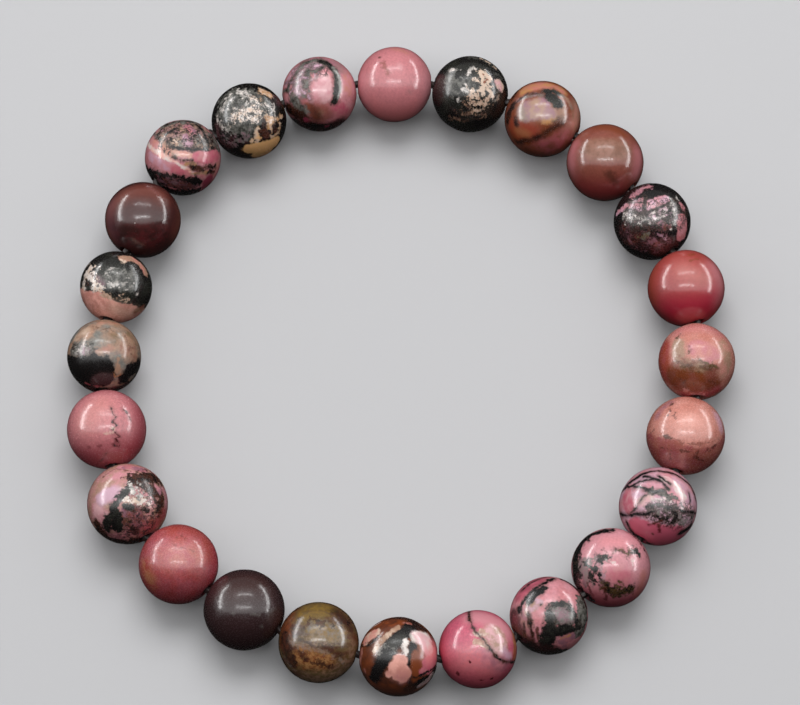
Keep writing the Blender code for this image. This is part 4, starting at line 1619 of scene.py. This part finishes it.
def polish_group():
    """Roughness and relief of the polish: dull specks break it up, with more relief in the dark veins."""
    takes = sockets("Float", "Grain", "Pits", "Veins", "Roughness", "Wear")
    gives = sockets("Float", "Roughness", "Height")
    tree, given, result = new_group("ShaderNodeTree", "polish", takes, gives)
    dull = maths(tree, "MULTIPLY", ramp(tree, given["Pits"], *DULL_EDGES), given["Wear"])
    grainy = ramp(tree, given["Grain"], *NOISE_SPREAD, *GRAIN_ROUGHNESS)
    rough = maths(tree, "ADD", given["Roughness"], grainy)
    rough = maths(tree, "MULTIPLY_ADD", dull, DULL_ROUGHNESS, rough)
    tree.links.new(maths(tree, "MULTIPLY_ADD", given["Veins"], VEIN_ROUGHNESS, rough), result["Roughness"])
    relief = maths(tree, "MULTIPLY", given["Pits"], maths(tree, "ADD", given["Veins"], 1.0))
    tree.links.new(relief, result["Height"])


STONE_GROUPS = (stroke_group, drift_group, web_group, layer_group, body_group, painted_shade_group, polish_group)


def on_ball(place):
    """A place seen on the facing side of a ball of radius 1, as a point of the ball."""
    across, up = place
    out = math.hypot(across, up)
    if out >= 1.0:
        return (across / out, up / out, 0.0)
    return (across, up, math.sqrt(1.0 - out * out))


def stroke_distance(tree, strokes, point):
    """The distance to the nearest of the strokes, as one chain of stroke nodes."""
    nearest = FAR
    for half_width, *places in strokes:
        ends = [on_ball(place) for place in places]
        for start, end in zip(ends, ends[1:] or ends):
            inputs = {"Point": point, "From": start, "To": end, "Half Width": half_width, "Nearest": nearest}
            nearest = group(tree, "stroke", inputs)["Nearest"]
    return nearest


def paint_stone(tree, look, colours, unit, seed):
    """The stone's colour with painted shade at its foot, the mask of its black veins and its fine grain, from
    the body up.

    unit is the place on the bead in its own frame, in bead radii.
    """

    def tone(name):
        return opaque(getattr(colours, name))

    reaches = {"Bend": BEND_REACH, "Tremble": TREMBLE_REACH, "Stir": STIR_REACH}
    point = group(tree, "drift", {"Vector": unit, "Seed": seed, **reaches})["Vector"]
    clouds = three_noises(tree, unit, CLOUDS, seed)
    large = three_noises(tree, unit, PATCHES, seed + 1)
    fine = three_noises(tree, unit, FINE_GRAIN, seed + 2)
    rough = three_noises(tree, unit, EDGE_GRAIN, seed + 5)
    laid_over = {"Vector": point, "Rotation": (0.0, 0.0, FIBRE_TURN), "Scale": FIBRE_SCALE}
    fibre_place = add(tree, "ShaderNodeMapping", laid_over).outputs[0]
    body = {
        "Light": tone(look.light),
        "Dark": tone(look.dark),
        "Cloud": clouds[0],
        "Fibre": noise(tree, fibre_place, FIBRES, seed + 3).outputs[0],
        "Streaks": look.streaks,
        "Grain": fine[1],
        "Fleck": fine[2],
        "Grain Strength": look.grain,
    }
    painted = group(tree, "stone body", body)["Color"]
    veins = 0.0
    for index, step in enumerate(look.layers):
        distance = stroke_distance(tree, step.strokes, point)
        if step.net:
            web = group(tree, "crack web", {"Vector": unit, "Scale": step.net, "Seed": seed})["Distance"]
            distance = maths(tree, "MAXIMUM", distance, web)
        # Each layer takes the next of the three patterns, so that the layers' edges differ.
        patches = rough if step.ragged > RAGGED_MIX else large
        inputs = {
            "Color": painted,
            "Light": tone(step.light),
            "Dark": tone(step.dark),
            "Distance": distance,
            "Grain": rough[index % 3],
            "Cloud": patches[(index + 1) % 3],
            "Raggedness": step.ragged,
            "Softness": step.soft,
            "Strength": step.strength,
            "Halo": step.halo,
        }
        laid = group(tree, "stone layer", inputs)
        painted = laid["Color"]
        if "black" in step.light + step.dark:  # these are the veins, which polish less well
            veins = maths(tree, "MAXIMUM", veins, laid["Mask"])
    # Painted shade: the stone darkens and reddens towards its foot as seen.
    painted = group(tree, "depth", {"Color": painted, "Point": unit, "Depth": look.depth})["Color"]
    return painted, veins, fine[0]


def stone_material(seat, look, number, colours, beads):
    """The polished stone of one bead, painted in the bead's own frame."""
    material = bpy.data.materials.new(f"rhodonite_{seat.node}")
    material.use_nodes = True
    tree = material.node_tree
    shader = tree.nodes["Principled BSDF"]
    seed = number * BEAD_SEED_STEP
    frame_of_bead = {
        "Vector": tree.nodes.new("ShaderNodeTexCoord").outputs["Object"],
        "Location": seat.centre,
        "Rotation": seat.facing.to_euler(),
        "Scale": (seat.radius,) * 3,
    }
    unit = add(tree, "ShaderNodeMapping", frame_of_bead, vector_type="TEXTURE").outputs[0]
    painted, veins, grain = paint_stone(tree, look, colours, unit, seed)
    pits = noise(tree, unit, PITS, seed + 4).outputs[0]
    polish = {"Grain": grain, "Pits": pits, "Veins": veins, "Roughness": beads.polish, "Wear": look.pits}
    polish = group(tree, "polish", polish)
    relief = {"Height": polish["Height"], "Distance": RELIEF, "Strength": RELIEF_STRENGTH}
    tree.links.new(painted, shader.inputs["Base Color"])
    tree.links.new(polish["Roughness"], shader.inputs["Roughness"])
    tree.links.new(add(tree, "ShaderNodeBump", relief).outputs[0], shader.inputs["Normal"])
    shader.inputs["IOR"].default_value = STONE_IOR
    shader.inputs["Coat Weight"].default_value = beads.haze
    shader.inputs["Coat Roughness"].default_value = HAZE_ROUGHNESS
    material.diffuse_color = opaque(getattr(colours, look.light))
    return material


# ---------------------------------------------------------------- the cord

CORD_SIDES = 40
CORD_STEP = 0.3 * MM  # between the profile's places along the line
CORD_FIBRES = (2500.0, 3.0, 0.55)
CORD_DUST = (300.0, 2.0, 0.55)
DUST_EDGES = (0.35, 0.65)
SHADE_SHARE = 0.62  # of the tint's brightness, where it is darkest
CORD_ROUGHNESS = (0.32, 0.55)
CORD_RELIEF = 0.02 * MM
CORD_RELIEF_STRENGTH = 0.5


def twisted_cord_tree():
    """A lobed profile swept along a closed line and twisted as it goes."""
    gives = sockets("Geometry", "Geometry")
    takes = gives + sockets("Float", "Radius", "Groove", "Lay", "Spacing")
    takes += sockets("Int", "Strands") + sockets("Material", "Elastic")
    tree, given, result = new_group("GeometryNodeTree", "twisted cord", takes, gives)
    line = add(tree, "GeometryNodeMeshToCurve", {"Mesh": given["Geometry"]}).outputs[0]
    spline = add(tree, "GeometryNodeCurveSplineType", {"Curve": line}, spline_type="BEZIER").outputs[0]
    spline = add(tree, "GeometryNodeCurveSetHandles", {"Curve": spline}, handle_type="AUTO").outputs[0]
    steps = {"Curve": spline, "Length": given["Spacing"]}
    even = add(tree, "GeometryNodeResampleCurve", steps, mode="LENGTH").outputs[0]
    whole_length = add(tree, "GeometryNodeCurveLength", {"Curve": even}).outputs[0]
    turns = maths(tree, "ROUND", maths(tree, "DIVIDE", whole_length, given["Lay"]))
    gone = tree.nodes.new("GeometryNodeSplineParameter").outputs["Factor"]
    turn = maths(tree, "MULTIPLY", maths(tree, "MULTIPLY", gone, turns), math.tau)
    twisted = add(tree, "GeometryNodeSetCurveTilt", {"Curve": even, "Tilt": turn}).outputs[0]
    round_cord = {"Resolution": CORD_SIDES, "Radius": given["Radius"]}
    ring = add(tree, "GeometryNodeCurvePrimitiveCircle", round_cord, mode="RADIUS").outputs[0]
    place = add(tree, "GeometryNodeInputPosition").outputs[0]
    parts = add(tree, "ShaderNodeSeparateXYZ", {0: place}).outputs
    angle = maths(tree, "MULTIPLY", maths(tree, "ARCTAN2", parts["Y"], parts["X"]), given["Strands"])
    dip = maths(tree, "MULTIPLY", maths(tree, "SUBTRACT", maths(tree, "COSINE", angle), 1.0), 0.5)
    outward = vector_maths(tree, "NORMALIZE", place)
    inward = scaled(tree, outward, maths(tree, "MULTIPLY", dip, given["Groove"]))
    lobed = add(tree, "GeometryNodeSetPosition", {"Geometry": ring, "Offset": inward}).outputs[0]
    skin = add(tree, "GeometryNodeCurveToMesh", {"Curve": twisted, "Profile Curve": lobed}).outputs[0]
    smooth = add(tree, "GeometryNodeSetShadeSmooth", {"Geometry": skin}).outputs[0]
    whole = add(tree, "GeometryNodeRealizeInstances", {"Geometry": smooth}).outputs[0]
    dressed = add(tree, "GeometryNodeSetMaterial", {"Geometry": whole, "Material": given["Elastic"]})
    tree.links.new(dressed.outputs[0], result[0])
    return tree


def elastic_material(cord):
    """Matt elastic, darker in soft patches and finely fibrous."""
    material = bpy.data.materials.new("elastic")
    material.use_nodes = True
    tree = material.node_tree
    shader = tree.nodes["Principled BSDF"]
    place = tree.nodes.new("ShaderNodeTexCoord").outputs["Object"]
    fibres = noise(tree, place, CORD_FIBRES, 1.0).outputs[0]
    dusty = noise(tree, place, CORD_DUST, 2.0).outputs[0]
    shade = opaque(channel * SHADE_SHARE for channel in cord.tint)
    tone = blend_colour(tree, ramp(tree, dusty, *DUST_EDGES), opaque(cord.tint), shade)
    relief = {"Height": fibres, "Distance": CORD_RELIEF, "Strength": CORD_RELIEF_STRENGTH}
    tree.links.new(tone, shader.inputs["Base Color"])
    tree.links.new(ramp(tree, fibres, *NOISE_SPREAD, *CORD_ROUGHNESS), shader.inputs["Roughness"])
    tree.links.new(add(tree, "ShaderNodeBump", relief).outputs[0], shader.inputs["Normal"])
    material.diffuse_color = opaque(cord.tint)
    return material


# ---------------------------------------------------------------- lamps, floor and camera

Lamp = namedtuple("Lamp", "name place facing wide high share gloss diffuse")

FLOOR_HALF = 2.0
FLOOR_ROUGHNESS = 0.9
AIR_TINT = (1.0, 0.99, 0.98, 1.0)
SENSOR_WIDTH = 36.0  # in millimetres, as the focal length is
NEAR_CLIP, FAR_CLIP = 0.01, 20.0

CEILING_HEIGHT = 0.7
CEILING_WIDTH = 3.0
CEILING_ROWS = 6
CEILING_FRONT = -0.36
CEILING_BACK = 1.44
FRONT_SHARE = 0.095  # of the lamps' brightness, in the row nearest the viewer
SHARE_STEP = 0.016  # less of it in each row behind


def ceiling_rows():
    """A white ceiling whose light falls off towards the back, as level rows side by side."""
    depth = (CEILING_BACK - CEILING_FRONT) / CEILING_ROWS
    rows = []
    for row in range(CEILING_ROWS):
        place = (0.0, CEILING_FRONT + depth * (row + 0.5), CEILING_HEIGHT)
        share = FRONT_SHARE - SHARE_STEP * row
        rows.append(Lamp(f"ceiling {row + 1}", place, (0, 0, -1), CEILING_WIDTH, depth, share, True, True))
    return rows


def lamps():
    """Strips and bars that only show as highlights, a key that only lights, and the walls and ceiling.

    A lamp's share is of the lamps' brightness. gloss and diffuse say which of the two it takes part in.
    """
    return [
        Lamp("left strip", (-0.5, 0.34, 0.175), (0.5, 0.0, -0.175), 0.79, 0.085, 0.62, True, False),
        Lamp("right strip", (0.5, 0.32, 0.165), (-0.5, 0.0, -0.165), 0.9, 0.085, 0.55, True, False),
        Lamp("front bar", (0.0, -0.09, 0.6), (0.0, 0.09, -0.6), 0.5, 0.045, 0.62, True, False),
        Lamp("back bar", (0.0, 0.3, 0.54), (0.0, -0.3, -0.54), 0.5, 0.045, 0.42, True, False),
        Lamp("key", (0.0, 0.3, 0.54), (0.0, -0.3, -0.54), 0.5, 0.3, 0.38, False, True),
        Lamp("back wall", (0.0, 1.4, 0.35), (0.0, -1.4, -0.35), 3.0, 0.7, 0.016, True, True),
        Lamp("left wall", (-1.2, 0.5, 0.35), (1.2, 0.0, -0.35), 1.8, 0.7, 0.019, True, True),
        *ceiling_rows(),
    ]


# ---------------------------------------------------------------- operators


class BRACELET_OT_string_beads(Operator):
    """Turn, drill, paint and polish every bead, each in its place on the string"""

    bl_idname = "bracelet.string_beads"
    bl_label = "Beads"

    def execute(self, context):
        scene = context.scene
        beads = scene.bracelet_beads
        for make_group in STONE_GROUPS:
            make_group()
        tree = drilled_ball_tree()
        for number, seat in enumerate(bead_seats(camera_place(scene.bracelet_stage)), start=1):
            look = STONES[seat.node]
            material = stone_material(seat, look, number, scene.bracelet_colours, beads)
            values = {
                "Radius": seat.radius,
                "Bore Radius": beads.bore_radius,
                "Rim Rounding": beads.rim_round,
                "Unevenness": beads.unevenness * look.uneven,
                "Sides": beads.sides,
                "Bands": beads.bands,
                "Rim Bands": beads.rim_bands,
                "Seed": float(number),
                "Stone": material,
            }
            bead = grown(f"{seat.node}_stone", tree, values)
            turn = Vector((0.0, 0.0, 1.0)).rotation_difference(seat.along).to_matrix().to_4x4()
            bead.data.transform(Matrix.Translation(seat.centre) @ turn)
            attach(bead, BODY)
            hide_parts(seat.node)
        return {"FINISHED"}


class BRACELET_OT_thread_cord(Operator):
    """Run the elastic cord through every bore and close it"""

    bl_idname = "bracelet.thread_cord"
    bl_label = "Elastic cord"

    def execute(self, context):
        scene = context.scene
        cord = scene.bracelet_cord
        line = []
        for seat in bead_seats(camera_place(scene.bracelet_stage)):
            half_bore = seat.along * math.sqrt(seat.radius**2 - scene.bracelet_beads.bore_radius**2)
            line += [seat.centre - half_bore, seat.centre + half_bore]
        guide = bpy.data.meshes.new("cord_line")
        guide.from_pydata(line, [(index, (index + 1) % len(line)) for index in range(len(line))], [])
        values = {
            "Radius": cord.radius,
            "Groove": cord.groove,
            "Lay": cord.lay,
            "Strands": cord.strands,
            "Spacing": CORD_STEP,
            "Elastic": elastic_material(cord),
        }
        piece = grown("elastic_cord_strands", twisted_cord_tree(), values, guide)
        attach(piece, BODY)
        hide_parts(CORD_NODE)
        return {"FINISHED"}


class BRACELET_OT_set_stage(Operator):
    """Lay the pale floor, hang the lamps and place the camera"""

    bl_idname = "bracelet.set_stage"
    bl_label = "Floor, lamps and camera"

    def execute(self, context):
        scene = context.scene
        stage = scene.bracelet_stage
        self.lay_floor(scene, stage)
        for lamp in lamps():
            self.hang(scene, stage, lamp)
        self.light_air(scene, stage)
        self.place_camera(scene, stage)
        scene.view_settings.view_transform = "Standard"
        return {"FINISHED"}

    def lay_floor(self, scene, stage):
        """Lays a pale floor that takes no part in the light that the beads bounce and mirror."""
        corners = [(x * FLOOR_HALF, y * FLOOR_HALF, 0.0) for x, y in ((-1, -1), (1, -1), (1, 1), (-1, 1))]
        mesh = bpy.data.meshes.new("floor")
        mesh.from_pydata(corners, [], [(0, 1, 2, 3)])
        floor = bpy.data.objects.new("floor", mesh)
        scene.collection.objects.link(floor)
        material = bpy.data.materials.new("pale_floor")
        material.use_nodes = True
        shader = material.node_tree.nodes["Principled BSDF"]
        shader.inputs["Base Color"].default_value = opaque(stage.floor)
        shader.inputs["Roughness"].default_value = FLOOR_ROUGHNESS
        mesh.materials.append(material)
        floor.visible_diffuse = False
        floor.visible_glossy = False

    def hang(self, scene, stage, lamp):
        """Hangs one lamp with its long side level, as bright for its area as its share says."""
        light = bpy.data.lights.new(lamp.name, "AREA")
        light.shape = "RECTANGLE"
        light.size = lamp.wide
        light.size_y = lamp.high
        light.energy = stage.lamps * lamp.share * math.pi * lamp.wide * lamp.high
        hung = bpy.data.objects.new(lamp.name, light)
        back = -Vector(lamp.facing).normalized()
        at_side = abs(lamp.facing[0]) > 0.0
        long_side = Vector((0.0, 1.0, 0.0)) if at_side else Vector((1.0, 0.0, 0.0))
        turn = Matrix((long_side, back.cross(long_side), back)).transposed()
        hung.matrix_world = Matrix.Translation(lamp.place) @ turn.to_4x4()
        hung.visible_camera = False
        hung.visible_glossy = lamp.gloss
        hung.visible_diffuse = lamp.diffuse
        scene.collection.objects.link(hung)

    def light_air(self, scene, stage):
        world = bpy.data.worlds.new("studio air")
        world.use_nodes = True
        background = world.node_tree.nodes["Background"]
        background.inputs["Color"].default_value = AIR_TINT
        background.inputs["Strength"].default_value = stage.air
        scene.world = world

    def place_camera(self, scene, stage):
        data = bpy.data.cameras.new("camera")
        data.lens = stage.lens
        data.sensor_width = SENSOR_WIDTH
        data.clip_start = NEAR_CLIP
        data.clip_end = FAR_CLIP
        camera = bpy.data.objects.new("camera", data)
        camera.location = camera_place(stage)
        camera.rotation_euler = (math.pi / 2 - stage.view_elevation, 0.0, 0.0)
        scene.collection.objects.link(camera)
        scene.camera = camera


class BRACELET_PT_panel(Panel):
    """Lists the bracelet's parts and settings"""

    bl_idname = "BRACELET_PT_panel"
    bl_label = "Bead bracelet"
    bl_space_type = "VIEW_3D"
    bl_region_type = "UI"
    bl_category = "Bracelet"

    def draw(self, context):
        scene = context.scene
        for operator, settings in (
            (BRACELET_OT_string_beads, (scene.bracelet_beads, scene.bracelet_colours)),
            (BRACELET_OT_thread_cord, (scene.bracelet_cord,)),
            (BRACELET_OT_set_stage, (scene.bracelet_stage,)),
        ):
            box = self.layout.box()
            box.operator(operator.bl_idname)
            for item in settings:
                for name in item.__annotations__:
                    box.prop(item, name)


SETTINGS = {
    "bracelet_colours": StoneColours,
    "bracelet_beads": BeadSettings,
    "bracelet_cord": CordSettings,
    "bracelet_stage": StageSettings,
}
CLASSES = (
    *SETTINGS.values(),
    BRACELET_OT_string_beads,
    BRACELET_OT_thread_cord,
    BRACELET_OT_set_stage,
    BRACELET_PT_panel,
)


def register():
    for cls in CLASSES:
        bpy.utils.register_class(cls)
    for name, cls in SETTINGS.items():
        setattr(bpy.types.Scene, name, PointerProperty(type=cls))


def unregister():
    for name in SETTINGS:
        delattr(bpy.types.Scene, name)
    for cls in reversed(CLASSES):
        bpy.utils.unregister_class(cls)


def main():
    register()
    bpy.ops.bracelet.string_beads()
    bpy.ops.bracelet.thread_cord()
    bpy.ops.bracelet.set_stage()


if __name__ == "__main__":
    main()
